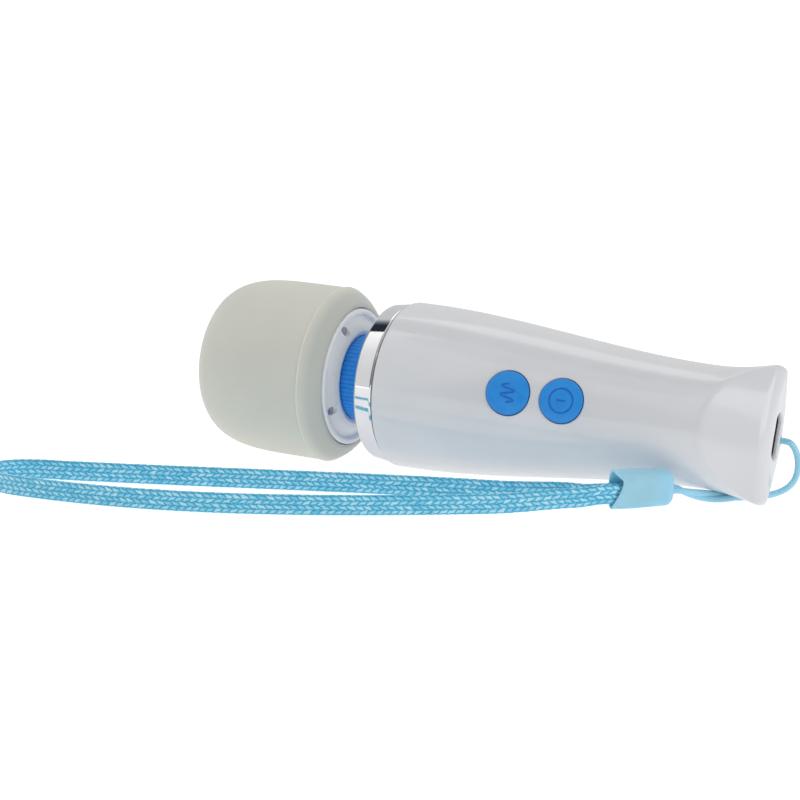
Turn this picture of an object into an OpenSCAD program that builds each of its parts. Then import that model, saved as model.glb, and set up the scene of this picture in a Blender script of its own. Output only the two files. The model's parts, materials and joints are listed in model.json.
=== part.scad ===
// Pocket wand massager: a vibrating cushioned head on a flexible neck,
// a rechargeable handle with two buttons, and a wrist strap on a thin cord.
//
// Wand parts are drawn along their own axis: X runs from the tip of the head to
// the tail, the buttons face -Y, and the origin is on the axis at the middle of
// the head's straight band. lay_down() then rests the wand on the floor.
// The strap parts are drawn where they lie on that floor.

/* [Head] */
// Radius of the cushion's straight band, where an attachment slides on
band_r = 19.35; // [18:0.05:20]
// Length of the straight band
band_len = 8; // [6:0.5:9]
// Length of the rounded front of the cushion, ahead of the band
dome_len = 20.8; // [19.8:0.1:24]
// Outer radius of the white flange behind the cushion
flange_r = 15.1; // [14.8:0.05:15.2]

/* [Neck] */
// Radius of the ribbed neck sleeve
neck_r = 9.5; // [8.8:0.1:9.6]
// Distance from the band's middle to the point that the neck bends about
neck_x = 13.5; // [13.4:0.1:13.8]
// Radial gap between the sleeve's ball ends and their sockets
neck_gap = 0.15; // [0.12:0.01:0.25]

/* [Handle] */
// Radius of the handle behind the chrome ring
belly_r = 18.02; // [17.8:0.02:18.4]
// Radius at the waist, ahead of the flared tail
waist_r = 12.85; // [12.8:0.05:13.4]
// Radius of the flared tail
tail_r = 14.5; // [14.2:0.1:15]
// Thickness of the tail's end face
tail_edge = 10; // [9.8:0.1:10.6]
// Slope of the two flat faces on the tail, from the wand's axis
facet_angle = 32.1; // [31:0.1:33]
// Wall thickness of the handle shells
wall = 1.8; // [1.6:0.1:1.9]

/* [Buttons] */
// Radius of the buttons
button_r = 4.75; // [4.5:0.05:4.85]
// Distance between the two buttons
button_pitch = 11.6; // [11.4:0.1:12]
// Gap around a button in its hole
button_gap = 0.2; // [0.1:0.05:0.25]
// How far a button stands proud of the handle
button_proud = 0.3; // [0.1:0.1:0.6]

/* [Strap] */
// Height of the braided ribbon, which lies on its edge
ribbon_h = 4; // [3.5:0.1:5]
// Thickness of the ribbon
ribbon_t = 1.2; // [1:0.1:1.3]
// Radius of the thin cord through the eye in the tail
cord_r = 0.5; // [0.4:0.05:0.55]

/* [Hidden] */
$fn = 72;
eps = 0.01;

// How the wand lies on the floor: rolled so that the buttons look up a little,
// and nose up so that the head and the tail's corner both touch.
lie_roll = -16;
lie_pitch = 3;
floor_z = -19.95;

// Head stations along the axis
band_front = -band_len / 2;
band_back = band_len / 2;
tip_x = band_front - dome_len;
cushion_wall = 3.2;
cushion_back = 8.4;
core_r = band_r - cushion_wall - 0.05;
core_front = tip_x + 3.7;
core_back = 6.7;
flange_front = 6.8;
motor_pocket_r = 11;
motor_r = 9.9;
shaft_r = 1;
flange_hole_ring = 12.4;

// Handle stations along the axis
ring_front = 17;
ring_back = 21.4;
casing_x = 21.8;
belly_x = 25;
waist_x = 92;
tail_x = 106;
corner_r = 2;
seat_bore_r = 15.65;

// The buttons, the switches and the board share a frame that follows the
// handle's slope: its z points out of the handle and its x runs to the tail.
button_x = 52.4;
button_tilt = 6.5;
switch_gap = 0.05;
stem_end = -5.6;
board_top = -8.15;
board_t = 1;
board_front = -24;
board_back = 20.6;
board_half_w = 9;
board_screw_xs = [-19, 18];
board_screw_y = 5.5;

// Battery
cell_r = 7;
cell_x = 35;
cell_len = 50;
cell_y = 2.8;

// Charging socket and the eye for the cord, both in the tail's end face
socket_w = 9.5;
socket_t = 3.6;
eye_r = 1.1;
eye_y = 3.7;
eye_z = -0.5;
eye_turn_x = 101.2;

// Where the strap lies, seen from above
mouth = [76.8, -20.6];
tag_azimuth = 40;
tag_lean = 10;
tag_len = 14;
tag_h = 8.6;
tag_t = 3.8;

// ---------------------------------------------------------------- helpers

module lay_down() {
    rotate([0, lie_pitch, 0]) rotate([lie_roll, 0, 0]) children();
}

// A solid of revolution about the wand's axis, from [x, radius] points
module lathe(points) {
    rotate([0, 90, 0]) rotate_extrude() polygon([for (p = points) [p[1], p[0]]]);
}

// A rod along +X
module rod(x0, x1, r) {
    translate([x0, 0, 0]) rotate([0, 90, 0]) cylinder(r = r, h = x1 - x0);
}

// A tube along +X
module sleeve(x0, x1, r_out, r_in) {
    lathe([[x0, r_in], [x0, r_out], [x1, r_out], [x1, r_in]]);
}

module box(low, high) {
    translate(low) cube(high - low);
}

// A smooth thread through a list of points
module thread(points, r) {
    for (i = [0 : len(points) - 2])
        hull() {
            translate(points[i]) sphere(r = r, $fn = 10);
            translate(points[i + 1]) sphere(r = r, $fn = 10);
        }
}

// A wire of straight runs, with a ball slightly larger than the wire at each bend
module wire(points, r) {
    for (i = [0 : len(points) - 2]) {
        run = points[i + 1] - points[i];
        translate(points[i]) rotate([0, acos(run[2] / norm(run)), atan2(run[1], run[0])])
            cylinder(r = r, h = norm(run));
    }
    for (i = [1 : len(points) - 2]) translate(points[i]) sphere(r = r + 0.03);
}

function smooth(u) = u * u * (3 - 2 * u);

function bezier(p, t) =
    pow(1 - t, 3) * p[0] + 3 * t * pow(1 - t, 2) * p[1] + 3 * t * t * (1 - t) * p[2] + pow(t, 3) * p[3];

function curve(p, n) = [for (i = [0 : n]) bezier(p, i / n)];

// ---------------------------------------------------------------- handle shape

function handle_r(x) =
    x < belly_x ? belly_r
    : x < waist_x ? waist_r + (belly_r - waist_r) * smooth((waist_x - x) / (waist_x - belly_x))
    : waist_r + (tail_r - waist_r) * pow((x - waist_x) / (tail_x - corner_r - waist_x), 1.8);

function stations(x0, x1, step) = [for (i = [0 : floor((x1 - x0) / step)]) x0 + i * step];

// The two flat faces that turn the flared tail into a narrow end face
module facet_cuts(inset) {
    for (side = [0, 1]) mirror([0, side, 0])
        translate([tail_x, tail_edge / 2, 0]) rotate([0, 0, -facet_angle])
            translate([-40, -inset, -20]) cube([60, 30, 40]);
}

module handle_outside() {
    difference() {
        lathe(concat(
            [[casing_x, 0], [casing_x, belly_r - 0.5], [casing_x + 0.8, belly_r]],
            [for (x = stations(belly_x, waist_x - 1, 3.35)) [x, handle_r(x)]],
            [for (x = stations(waist_x, tail_x - corner_r - 1, 2)) [x, handle_r(x)]],
            [for (a = [0 : 22.5 : 90])
                [tail_x - corner_r + corner_r * sin(a), tail_r - corner_r + corner_r * cos(a)]],
            [[tail_x, 0]]));
        facet_cuts(0);
    }
}

module handle_inside() {
    difference() {
        lathe(concat(
            [[casing_x - 1, 0], [casing_x - 1, belly_r - wall]],
            [for (x = stations(belly_x, waist_x - 1, 3.35)) [x, handle_r(x) - wall]],
            [[waist_x, waist_r - wall], [tail_x - wall, tail_r - corner_r], [tail_x - wall, 0]]));
        facet_cuts(wall);
    }
}

// The charging socket's opening, a slot with round ends that runs along X
module socket_slot(w, t, x0, x1) {
    for (s = [-1, 1]) translate([0, 0, s * (w - t) / 2]) rod(x0, x1, t / 2);
    box([x0, -t / 2, -(w - t) / 2], [x1, t / 2, (w - t) / 2]);
}

// The eye for the cord turns a corner: in at the end face, out at the rear flat
module cord_eye() {
    translate([0, eye_y, eye_z]) rod(eye_turn_x, tail_x + 1, eye_r);
    translate([eye_turn_x, eye_y, eye_z]) rotate([-90, 0, 0]) cylinder(r = eye_r, h = 10);
}

module button_frame() {
    translate([button_x, -handle_r(button_x), 0]) rotate([0, 0, button_tilt]) rotate([90, 0, 0]) children();
}

module at_each_button() {
    for (i = [0, 1]) translate([i * button_pitch, 0, 0]) children();
}

module at_each_board_screw() {
    for (x = board_screw_xs) for (s = [-1, 1]) translate([x, s * board_screw_y, 0]) children();
}

// Tabs on the front shell that reach inside the rear shell and hold them in line
module shell_tabs() {
    for (x = [34, 56, 78]) for (s = [0, 1]) mirror([0, 0, s])
        box([x, -6, handle_r(x + 5) - wall - 1.7], [x + 5, 2.5, handle_r(x + 5) - wall - 0.5]);
}

// ---------------------------------------------------------------- handle nodes

module casing_front() {
    color([0.93, 0.93, 0.95]) lay_down() difference() {
        union() {
            intersection() {
                difference() {
                    handle_outside();
                    handle_inside();
                }
                box([0, -30, -30], [120, 0, 30]);
            }
            shell_tabs();
            intersection() {
                handle_outside();
                button_frame() at_each_board_screw() translate([0, 0, board_top]) cylinder(r = 2.2, h = 20);
            }
        }
        button_frame() {
            at_each_button() translate([0, 0, -5]) cylinder(r = button_r + button_gap, h = 10);
            at_each_board_screw() translate([0, 0, board_top - 1]) cylinder(r = 0.75, h = 5);
        }
        socket_slot(socket_w, socket_t, tail_x - 4, tail_x + 1);
    }
}

module casing_rear() {
    color([0.93, 0.93, 0.95]) lay_down() difference() {
        union() {
            intersection() {
                difference() {
                    handle_outside();
                    handle_inside();
                }
                box([0, 0, -30], [120, 30, 30]);
            }
            for (x = [42, 60, 78]) intersection() {
                handle_outside();
                box([x, cell_y + 0.2, -20], [x + 1.6, 20, 20]);
            }
            intersection() {
                handle_outside();
                box([98.8, 2.35, -3.2], [tail_x, 14, 2.2]);
            }
        }
        translate([0, cell_y, 0]) rod(cell_x, 91, cell_r + 0.1);
        socket_slot(socket_w, socket_t, tail_x - 4, tail_x + 1);
        cord_eye();
    }
}

module chrome_ring() {
    color([0.8, 0.82, 0.84]) lay_down() lathe([
        [ring_front, seat_bore_r], [ring_front, 16.6], [ring_front + 0.4, 17],
        [ring_back - 0.3, 17.5], [ring_back, 17.2], [ring_back, seat_bore_r]]);
}

// White cup inside the ring, with the socket that the neck's ball end sits in
module neck_seat() {
    socket_r = norm([neck_r, 3.2]) + neck_gap;
    color([0.95, 0.95, 0.96]) lay_down() lathe(concat(
        [for (a = [64 : -6 : 28]) [neck_x + socket_r * cos(a), socket_r * sin(a)]],
        [[24.2, 4.8], [24.2, 6.5], [20.4, 11.5], [20.4, 14], [23.6, 14],
         [23.6, 16.1], [ring_back + 0.1, 16.1], [ring_back + 0.1, 15.5], [18, 15.5]]));
}

module main_board() {
    color([0.1, 0.35, 0.2]) lay_down() button_frame() difference() {
        box([board_front, -board_half_w, board_top - board_t], [board_back, board_half_w, board_top]);
        at_each_board_screw() translate([0, 0, board_top - 2]) cylinder(r = 1, h = 4);
    }
}

module board_screws() {
    color([0.6, 0.6, 0.62]) lay_down() button_frame() at_each_board_screw() {
        translate([0, 0, board_top - board_t - 1]) cylinder(r = 1.7, h = 1);
        translate([0, 0, board_top - board_t - eps]) cylinder(r = 0.7, h = 4.5);
    }
}

module chip(x, y, size) {
    translate([x, y, board_top + 0.6]) cube([size, size, 1.2], center = true);
}

module controller_chip() {
    color([0.12, 0.12, 0.13]) lay_down() button_frame() chip(-10, 0, 5);
}

module charger_chip() {
    color([0.12, 0.12, 0.13]) lay_down() button_frame() chip(5.8, 5.5, 3);
}

module motor_connector() {
    color([0.9, 0.88, 0.8]) lay_down() button_frame() difference() {
        box([board_front + 0.5, -3, board_top], [board_front + 4.5, 3, board_top + 3]);
        for (s = [-1, 1])
            box([board_front, s * 1.3 - 0.7, board_top + 0.8], [board_front + 3, s * 1.3 + 0.7, board_top + 2.2]);
    }
}

// A push switch: a square housing with a round well for its plunger
module switch_base(i) {
    color([0.2, 0.2, 0.21]) lay_down() button_frame() translate([i * button_pitch, 0, board_top]) difference() {
        box([-2.25, -2.25, 0], [2.25, 2.25, 1.65]);
        translate([0, 0, 0.3]) cylinder(r = 1.15, h = 2);
    }
}

module switch_plunger(i) {
    color([0.3, 0.3, 0.31]) lay_down() button_frame() translate([i * button_pitch, 0, 0])
        translate([0, 0, board_top + 0.8]) cylinder(r = 1.1, h = stem_end - switch_gap - board_top - 0.8);
}

module mode_switch_base() {
    switch_base(0);
}

module power_switch_base() {
    switch_base(1);
}

module mode_switch_plunger() {
    switch_plunger(0);
}

module power_switch_plunger() {
    switch_plunger(1);
}

module battery_cell() {
    color([0.25, 0.45, 0.75]) lay_down() translate([0, cell_y, 0]) {
        rod(cell_x, cell_x + cell_len, cell_r);
        rod(cell_x - 0.6, cell_x + eps, 2.6);
    }
}

module cell_guard_board() {
    color([0.1, 0.3, 0.2]) lay_down() translate([0, cell_y, 0]) rod(cell_x + cell_len, cell_x + cell_len + 0.8, 6.4);
}

module cell_foam_pad() {
    color([0.15, 0.15, 0.16]) lay_down() difference() {
        box([44, -6.6, -5], [54, 0, 5]);
        translate([0, cell_y, 0]) rod(40, 60, cell_r + 0.02);
    }
}

// A battery lead runs from the guard board beside the cell to the main board
module battery_lead(side) {
    lay_down() wire([
        [86.9, 1, side * 4], [86.9, -2, side * 7.2], [80, -3, side * 8], [73, -3, side * 8], [70, -4.2, side * 7.6]], 0.6);
}

module battery_lead_red() {
    color([0.8, 0.1, 0.1]) battery_lead(1);
}

module battery_lead_black() {
    color([0.1, 0.1, 0.1]) battery_lead(-1);
}

module charge_board() {
    color([0.1, 0.35, 0.2]) lay_down() box([91.5, -2.75, -5.6], [104, -1.75, 5.6]);
}

module charge_leads() {
    color([0.85, 0.5, 0.1]) lay_down() for (s = [-1, 1])
        wire([[90.9, -3, s * 3], [84, -6.8, s * 3], [78, -7.3, s * 3], [73.8, -5.6, s * 3]], 0.5);
}

module usb_c_port() {
    shell_w = 8.94;
    shell_t = 3.26;
    skin = 0.3;
    color([0.55, 0.56, 0.58]) lay_down() {
        difference() {
            socket_slot(shell_w, shell_t, 97.9, tail_x - 0.8);
            socket_slot(shell_w - 2 * skin, shell_t - 2 * skin, 99, tail_x);
        }
        box([98.8, -0.35, -3.35], [104.6, 0.35, 3.35]);
    }
}

// ---------------------------------------------------------------- buttons

module button_cap(i) {
    color([0.18, 0.52, 0.85]) lay_down() button_frame() translate([i * button_pitch, 0, 0]) {
        translate([0, 0, -3.6]) cylinder(r = button_r, h = 3.6 + button_proud);
        translate([0, 0, -4.2]) cylinder(r = 5.7, h = 0.7);
        translate([0, 0, stem_end]) cylinder(r = 1.2, h = 2);
    }
}

module mode_button() {
    button_cap(0);
}

module power_button() {
    button_cap(1);
}

// ---------------------------------------------------------------- neck

// The sleeve's ends are parts of one ball about the bending point
module neck_sleeve() {
    ball_r = norm([neck_r, 3.2]);
    color([0.12, 0.4, 0.75]) lay_down() lathe(concat(
        [for (a = [152 : -6 : 110]) [neck_x + ball_r * cos(a), ball_r * sin(a)]],
        [[neck_x - 3.2, neck_r], [neck_x + 3.2, neck_r]],
        [for (a = [70 : -6 : 28]) [neck_x + ball_r * cos(a), ball_r * sin(a)]],
        [[neck_x + 8.6, 4.4], [neck_x - 8.6, 4.4]]));
}

module motor_leads() {
    color([0.75, 0.2, 0.15]) lay_down() for (s = [-1, 1]) translate([0, 0, s * 1.3]) rod(3, 24, 0.55);
}

// ---------------------------------------------------------------- head

// The cushion's front is a superellipse: nearly flat at the tip, tight at its corner
function dome_r(x) = band_r * pow(1 - pow((band_front - x) / dome_len, 3.2), 1 / 5);

// Behind the band the cushion rounds down to the flange
function shoulder_r(x) = band_r * pow(1 - pow((x - band_back - 0.4) / 10.2, 1.5), 1 / 1.5);

module head_cushion() {
    color([0.74, 0.75, 0.71]) lay_down() lathe(concat(
        [[tip_x, 0]],
        [for (u = [0.03, 0.08, 0.15, 0.25, 0.36, 0.48, 0.62, 0.76, 0.88])
            let (x = tip_x + u * dome_len) [x, dome_r(x)]],
        [[band_front, band_r], [band_back, band_r], [band_back + 0.1, band_r + 0.35],
         [band_back + 0.6, band_r + 0.35], [band_back + 0.7, band_r - 0.1]],
        [for (x = [band_back + 1.6 : 0.7 : cushion_back]) [x, shoulder_r(x)]],
        [[cushion_back, flange_r + 0.2], [core_back + 0.2, flange_r + 0.2], [core_back + 0.2, core_r + 0.05],
         [core_front + 1.6, core_r + 0.05], [core_front - 0.05, core_r - 2.5], [core_front - 0.05, 0]]));
}

module at_each_flange_screw() {
    for (a = [45 : 90 : 315]) rotate([a, 0, 0]) translate([0, 0, flange_hole_ring]) children();
}

module head_flange() {
    socket_r = norm([neck_r, 3.2]) + neck_gap;
    color([0.95, 0.95, 0.96]) lay_down() difference() {
        lathe(concat(
            [[flange_front, flange_r], [cushion_back - 0.3, flange_r], [cushion_back - 0.1, flange_r - 0.3],
             [10, 10.3]],
            [for (a = [110 : 6 : 134]) [neck_x + socket_r * cos(a), socket_r * sin(a)]],
            [[flange_front, 7.4]]));
        at_each_flange_screw() {
            rod(5, 12, 0.75);
            rod(7.9, 12, 1.05);
        }
    }
}

module flange_screws() {
    color([0.62, 0.63, 0.65]) lay_down() at_each_flange_screw() {
        rod(7.9, 8.6, 1);
        rod(1.5, 7.91, 0.6);
    }
}

// Rigid cup under the cushion: outer skin, inner motor tube and screw posts
module head_core() {
    inner_skin_r = 12.3;
    color([0.88, 0.88, 0.86]) lay_down() difference() {
        union() {
            lathe([
                [core_front, 0], [core_front, core_r - 2.5], [core_front + 1.6, core_r], [core_back, core_r],
                [core_back, core_r - 1.6], [core_front + 3, core_r - 1.6], [core_front + 3, inner_skin_r],
                [core_back, inner_skin_r], [core_back, 0]]);
            at_each_flange_screw() box([-6, -2.2, -1], [core_back, 2.2, 2.7]);
        }
        at_each_flange_screw() rod(0.5, core_back + 1, 0.65);
        rod(core_front + 1.8, core_back + 1, motor_pocket_r);
    }
}

module motor_can() {
    color([0.7, 0.71, 0.72]) lay_down() lathe([
        [-12.5, 3], [-12.5, motor_r - 0.6], [-11.9, motor_r], [0.1, motor_r],
        [0.1, motor_r - 0.8], [-11.7, motor_r - 0.8], [-11.7, 3]]);
}

module motor_end_cap() {
    color([0.15, 0.15, 0.16]) lay_down() lathe([
        [-0.9, 2.5], [-0.9, motor_r - 0.8], [0.1, motor_r - 0.8], [0.1, motor_r], [0.9, motor_r], [0.9, 2.5]]);
}

module motor_magnets() {
    color([0.3, 0.3, 0.32]) lay_down() difference() {
        sleeve(-10.6, -3, motor_r - 0.8, 7.6);
        box([-12, -15, -3.5], [0, 15, 3.5]);
    }
}

module motor_brushes() {
    color([0.8, 0.5, 0.25]) lay_down() for (s = [-1, 1]) scale([1, s, 1]) {
        box([-2.4, 2.66, -0.8], [-1.6, 6, 0.8]);
        box([-2.4, 5.6, -0.8], [-0.9, 6, 0.8]);
    }
}

module motor_bushings() {
    color([0.75, 0.6, 0.3]) lay_down() {
        sleeve(-13.3, -11.7, 3, shaft_r + 0.05);
        sleeve(-0.9, 0.9, 2.5, shaft_r + 0.05);
    }
}

module motor_isolators() {
    color([0.25, 0.25, 0.26]) lay_down() for (x = [-11.4, -3])
        sleeve(x, x + 2.9, motor_pocket_r - 0.02, motor_r + 0.02);
}

module motor_shaft() {
    color([0.8, 0.8, 0.82]) lay_down() rod(-18.9, 0.8, shaft_r);
}

module armature_core() {
    color([0.5, 0.5, 0.52]) lay_down() difference() {
        sleeve(-10.2, -4, 7.2, shaft_r);
        for (a = [0, 120, 240]) rotate([a, 0, 0]) box([-11, -0.7, 3.4], [-3, 0.7, 8]);
    }
}

module armature_coils() {
    color([0.72, 0.4, 0.2]) lay_down() {
        lathe([[-11.2, 3.2], [-11.2, 5.6], [-10.25, 6.2], [-10.25, 2.6]]);
        lathe([[-3.95, 2.9], [-3.95, 6.2], [-3.1, 5.6], [-3.1, 3.2]]);
    }
}

module commutator() {
    color([0.8, 0.5, 0.3]) lay_down() difference() {
        sleeve(-2.9, -1.2, 2.6, shaft_r);
        for (a = [60, 180, 300]) rotate([a, 0, 0]) box([-3.5, -0.15, 2], [-0.5, 0.15, 4]);
    }
}

module eccentric_weight() {
    color([0.55, 0.55, 0.57]) lay_down() difference() {
        union() {
            intersection() {
                rod(-18.6, -14.2, 9);
                box([-20, -10, -10], [-10, 10, 0]);
            }
            rod(-18.6, -14.2, 3);
        }
        rod(-20, -13, shaft_r);
    }
}

// ---------------------------------------------------------------- strap

// The ribbon's path seen from above: out along the near side, round the end
// of the loop, and back along the far side
function ribbon_path() = concat(
    curve([mouth + [-0.3, -0.8], [36, -48.5], [5, -66.5], [-38, -62.8]], 16),
    curve([[-38, -62.8], [-54, -61], [-56, -47.5], [-40, -45.5]], 10),
    curve([[-40, -45.5], [0, -36.5], [50, -18], mouth + [-0.6, 0.7]], 14));

// Points of a path moved sideways by d
function shifted(p, d) = [
    for (i = [0 : len(p) - 1])
        let (a = p[max(i - 1, 0)], b = p[min(i + 1, len(p) - 1)], t = (b - a) / max(norm(b - a), eps))
            p[i] + d * [-t[1], t[0]]];

function reversed(p) = [for (i = [len(p) - 1 : -1 : 0]) p[i]];

// Leave out points that repeat where two curves join
function tidy(p) = [for (i = [0 : len(p) - 1]) if (i == 0 || norm(p[i] - p[i - 1]) > eps) p[i]];

module strap_webbing() {
    path = tidy(ribbon_path());
    color([0.33, 0.67, 0.84]) translate([0, 0, floor_z]) {
        linear_extrude(height = ribbon_h)
            polygon(concat(shifted(path, ribbon_t / 2), reversed(shifted(path, -ribbon_t / 2))));
        translate([mouth[0], mouth[1], 0]) cylinder(r = 1.4, h = ribbon_h);
    }
}

// The tag tapers from its mouth to a rounded end that rises with the cord
module strap_tag() {
    lift = 0.4;
    taper = 0.8;
    round_r = 2;
    color([0.6, 0.82, 0.92]) translate([mouth[0], mouth[1], floor_z + 0.35]) rotate([0, 0, tag_azimuth])
        rotate([90 + tag_lean, 0, 0]) translate([0, 0, -tag_t / 2]) linear_extrude(height = tag_t)
            polygon(concat(
                [[1.6, tag_h], [1.6, 0]],
                [for (a = [-90 : 15 : 0])
                    [tag_len - round_r + round_r * cos(a), lift + round_r + round_r * sin(a)]],
                [for (a = [0 : 15 : 90])
                    [tag_len - round_r + round_r * cos(a), tag_h - taper - round_r + round_r * sin(a)]]));
}

// The cord leaves the tag, passes under the tail and splits in two strands:
// one rises past the end face to the eye, the other up the rear flat
module lanyard_cord() {
    start = [mouth[0], mouth[1], 0] + (tag_len + 0.1) * [cos(tag_azimuth), sin(tag_azimuth), 0];
    tag_end = [start[0] + 0.9, start[1] + 0.1, floor_z + 3.9];
    under = [96.5, 0.8, floor_z + cord_r + 0.05];
    face_eye = [106.9, 3.4, -7.1];
    flat_eye = [101.4, 8.3, -8.2];
    color([0.55, 0.8, 0.92]) {
        thread(curve([tag_end, tag_end + [3, 2, -1.2], under - [3.5, 3.5, 0], under], 6), cord_r);
        thread(curve([under, [102, 8.5, floor_z + 0.55], [113, 9, -16.5], [109.3, 4.9, -9]], 10), cord_r);
        thread(curve([[109.3, 4.9, -9], [108.9, 4.7, -8.2], [108.2, 3.8, -7.1], face_eye], 3), cord_r);
        thread(curve([under, [101, 8.5, floor_z + 0.55], [104.5, 12.5, -15], flat_eye], 8), cord_r);
    }
}

// ---------------------------------------------------------------- nodes

casing_front();
casing_rear();
chrome_ring();
neck_seat();
main_board();
board_screws();
controller_chip();
charger_chip();
motor_connector();
mode_switch_base();
power_switch_base();
battery_cell();
cell_guard_board();
cell_foam_pad();
battery_lead_red();
battery_lead_black();
charge_board();
charge_leads();
usb_c_port();
mode_button();
power_button();
mode_switch_plunger();
power_switch_plunger();
neck_sleeve();
motor_leads();
head_flange();
flange_screws();
head_core();
head_cushion();
motor_can();
motor_end_cap();
motor_magnets();
motor_brushes();
motor_bushings();
motor_isolators();
motor_shaft();
armature_core();
armature_coils();
commutator();
eccentric_weight();
lanyard_cord();
strap_tag();
strap_webbing();
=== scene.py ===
"""Looks of the pocket wand massager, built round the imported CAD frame.

Lengths in this script are millimetres. Wand pieces are drawn along the wand's own axes,
X from the tip of the head to the tail, buttons facing -Y, and lay_down() turns them
into the frame. Strap pieces are drawn where they lie on the floor.
"""

import json
import math

import bmesh
import bpy
import numpy as np
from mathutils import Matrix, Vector


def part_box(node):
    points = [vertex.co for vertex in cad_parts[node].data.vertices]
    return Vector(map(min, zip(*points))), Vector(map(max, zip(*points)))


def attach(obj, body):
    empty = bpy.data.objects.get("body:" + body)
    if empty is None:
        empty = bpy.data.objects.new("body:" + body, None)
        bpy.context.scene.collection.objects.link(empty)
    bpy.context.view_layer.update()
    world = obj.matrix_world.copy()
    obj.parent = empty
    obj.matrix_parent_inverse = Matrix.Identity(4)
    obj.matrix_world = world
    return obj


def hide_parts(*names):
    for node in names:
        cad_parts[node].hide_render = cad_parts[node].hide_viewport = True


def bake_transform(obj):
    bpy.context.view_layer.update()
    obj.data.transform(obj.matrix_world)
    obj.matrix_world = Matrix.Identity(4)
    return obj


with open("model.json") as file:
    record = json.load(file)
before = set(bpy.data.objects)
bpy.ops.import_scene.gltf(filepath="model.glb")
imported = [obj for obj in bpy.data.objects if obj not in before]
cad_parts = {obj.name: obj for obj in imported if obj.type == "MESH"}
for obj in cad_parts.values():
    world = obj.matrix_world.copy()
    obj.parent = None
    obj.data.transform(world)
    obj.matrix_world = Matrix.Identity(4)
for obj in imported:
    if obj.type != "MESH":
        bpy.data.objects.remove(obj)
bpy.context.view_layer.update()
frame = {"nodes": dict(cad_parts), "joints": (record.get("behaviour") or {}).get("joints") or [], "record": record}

MM = 0.001

# ---- the frame's axes

JOINTS = {j["name"]: j for j in frame["joints"]}
SLOTS = {s["node"]: s["material_slot"] for s in frame["record"]["subparts"]}
AXES = np.column_stack([JOINTS[n]["axis"] for n in ("rotor_spin", "neck_pitch", "neck_yaw")])
FLOOR_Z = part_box("head_cushion")[0].z / MM


def lay_down(points):
    """Points given along the wand's axes, as they are in the frame."""
    return np.asarray(points, float) @ AXES.T


def along_wand(node):
    """A CAD node's vertices, measured along the wand's axes."""
    mesh = frame["nodes"][node].data
    co = np.empty(len(mesh.vertices) * 3)
    mesh.vertices.foreach_get("co", co)
    return co.reshape(-1, 3) @ AXES / MM


def reach(node):
    """Where a node starts and ends along the wand."""
    x = along_wand(node)[:, 0]
    return x.min(), x.max()


# ---- sizes

TIP_X, CUSHION_BACK = reach("head_cushion")
FLANGE_FRONT = reach("head_flange")[0]
RING_FRONT, RING_BACK = reach("chrome_ring")
CASING_FRONT, TAIL_X = reach("casing_front")
PORT_FRONT, PORT_BACK = reach("usb_c_port")
NECK_X = np.dot(JOINTS["neck_pitch"]["pos_m"], AXES[:, 0]) / MM

# Head and neck
BAND_R, BAND_HALF, SEAM_X = 19.35, 4.0, 4.35
CORE_R, CORE_FRONT, CORE_BACK = 16.15, -21.15, 6.9
FLANGE_R, LIP_R, NECK_R, BALL_HALF = 15.1, 15.3, 9.5, 3.2
BALL_R = math.hypot(NECK_R, BALL_HALF)
SOCKET_R = BALL_R + 0.15
SCREW_RING_R = 12.4

# Handle: its outline, its walls, and how finely its skin is divided
BELLY_R, BELLY_X = 18.02, 25.0
WAIST_R, WAIST_X = 12.85, 92.0
TAIL_R, FLARE_LEN, FLARE_POWER = 14.5, 12.0, 1.8
TAIL_HALF = 5.0
FACET, FACET_BOW = math.radians(32.1), 0.018
FACET_ROUND, TAIL_ROUND = 0.36, 2.0
WALL, LIP = 1.8, 0.55
LIP_X, LIP_DROP = (0, 0.07, 0.27), (LIP, 0.27, 0.07)
SEAM_GAP, SEAM_FILLET, SEAM_COLUMNS = 0.03, 0.13, 3
FAN_X, COLUMNS, PATCH = 97.0, 104, 24
PATCH_COL = SEAM_COLUMNS + (COLUMNS - PATCH) // 2
ROUNDING = (0.33, 0.66, 1)

# Charging slot, the cord's eye, and the buttons
SLOT_HALF_W, SLOT_HALF_T, SLOT_FILLET = 4.75, 1.8, 0.6
EYE_R, EYE_Y, EYE_Z, EYE_TURN_X = 1.1, 3.7, -0.5, 101.2
BUTTON_R, BUTTON_GAP, BUTTON_PITCH = 4.62, 0.13, 11.6
BUTTON_X, BUTTON_TILT = 52.4, math.radians(6.5)
HOLE_R, HOLE_FILLET = BUTTON_R + BUTTON_GAP, 0.22

# Strap
RIBBON_H, RIBBON_T, RIBBON_RELIEF = 4.3, 1.25, 0.2
MOUTH = np.array(JOINTS["ribbon_fold"]["pos_m"][:2]) / MM
TAG_AZIMUTH, TAG_LEAN, TAG_CLEAR = math.radians(40), math.radians(10), 0.4
TAG_LEN, TAG_H, TAG_T, TAG_START = 14.0, 8.6, 3.8, 0.9
TAG_ROUND, TAG_LIFT, TAG_TAPER = 2.0, 0.4, 0.8
CORD_R, CORD_TWIST = 0.68, 0.62


# ---- curves


def smooth(u):
    """0 to 1 with soft ends, as u goes from 0 to 1."""
    u = np.clip(u, 0, 1)
    return u * u * (3 - 2 * u)


def bezier(corners, n):
    """n + 1 points along a cubic curve."""
    p = np.asarray(corners, float)
    t = np.linspace(0, 1, n + 1)[:, None]
    return (1 - t) ** 3 * p[0] + 3 * t * (1 - t) ** 2 * p[1] + 3 * t * t * (1 - t) * p[2] + t**3 * p[3]


def distances(points):
    """How far along a line of points each of them is."""
    return np.r_[0, np.cumsum(np.linalg.norm(np.diff(points, axis=0), axis=1))]


def even(points, n):
    """n points at even distances along a line of points."""
    points = np.asarray(points, float)
    s = distances(points)
    return np.column_stack([np.interp(np.linspace(0, s[-1], n), s, c) for c in points.T])


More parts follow.
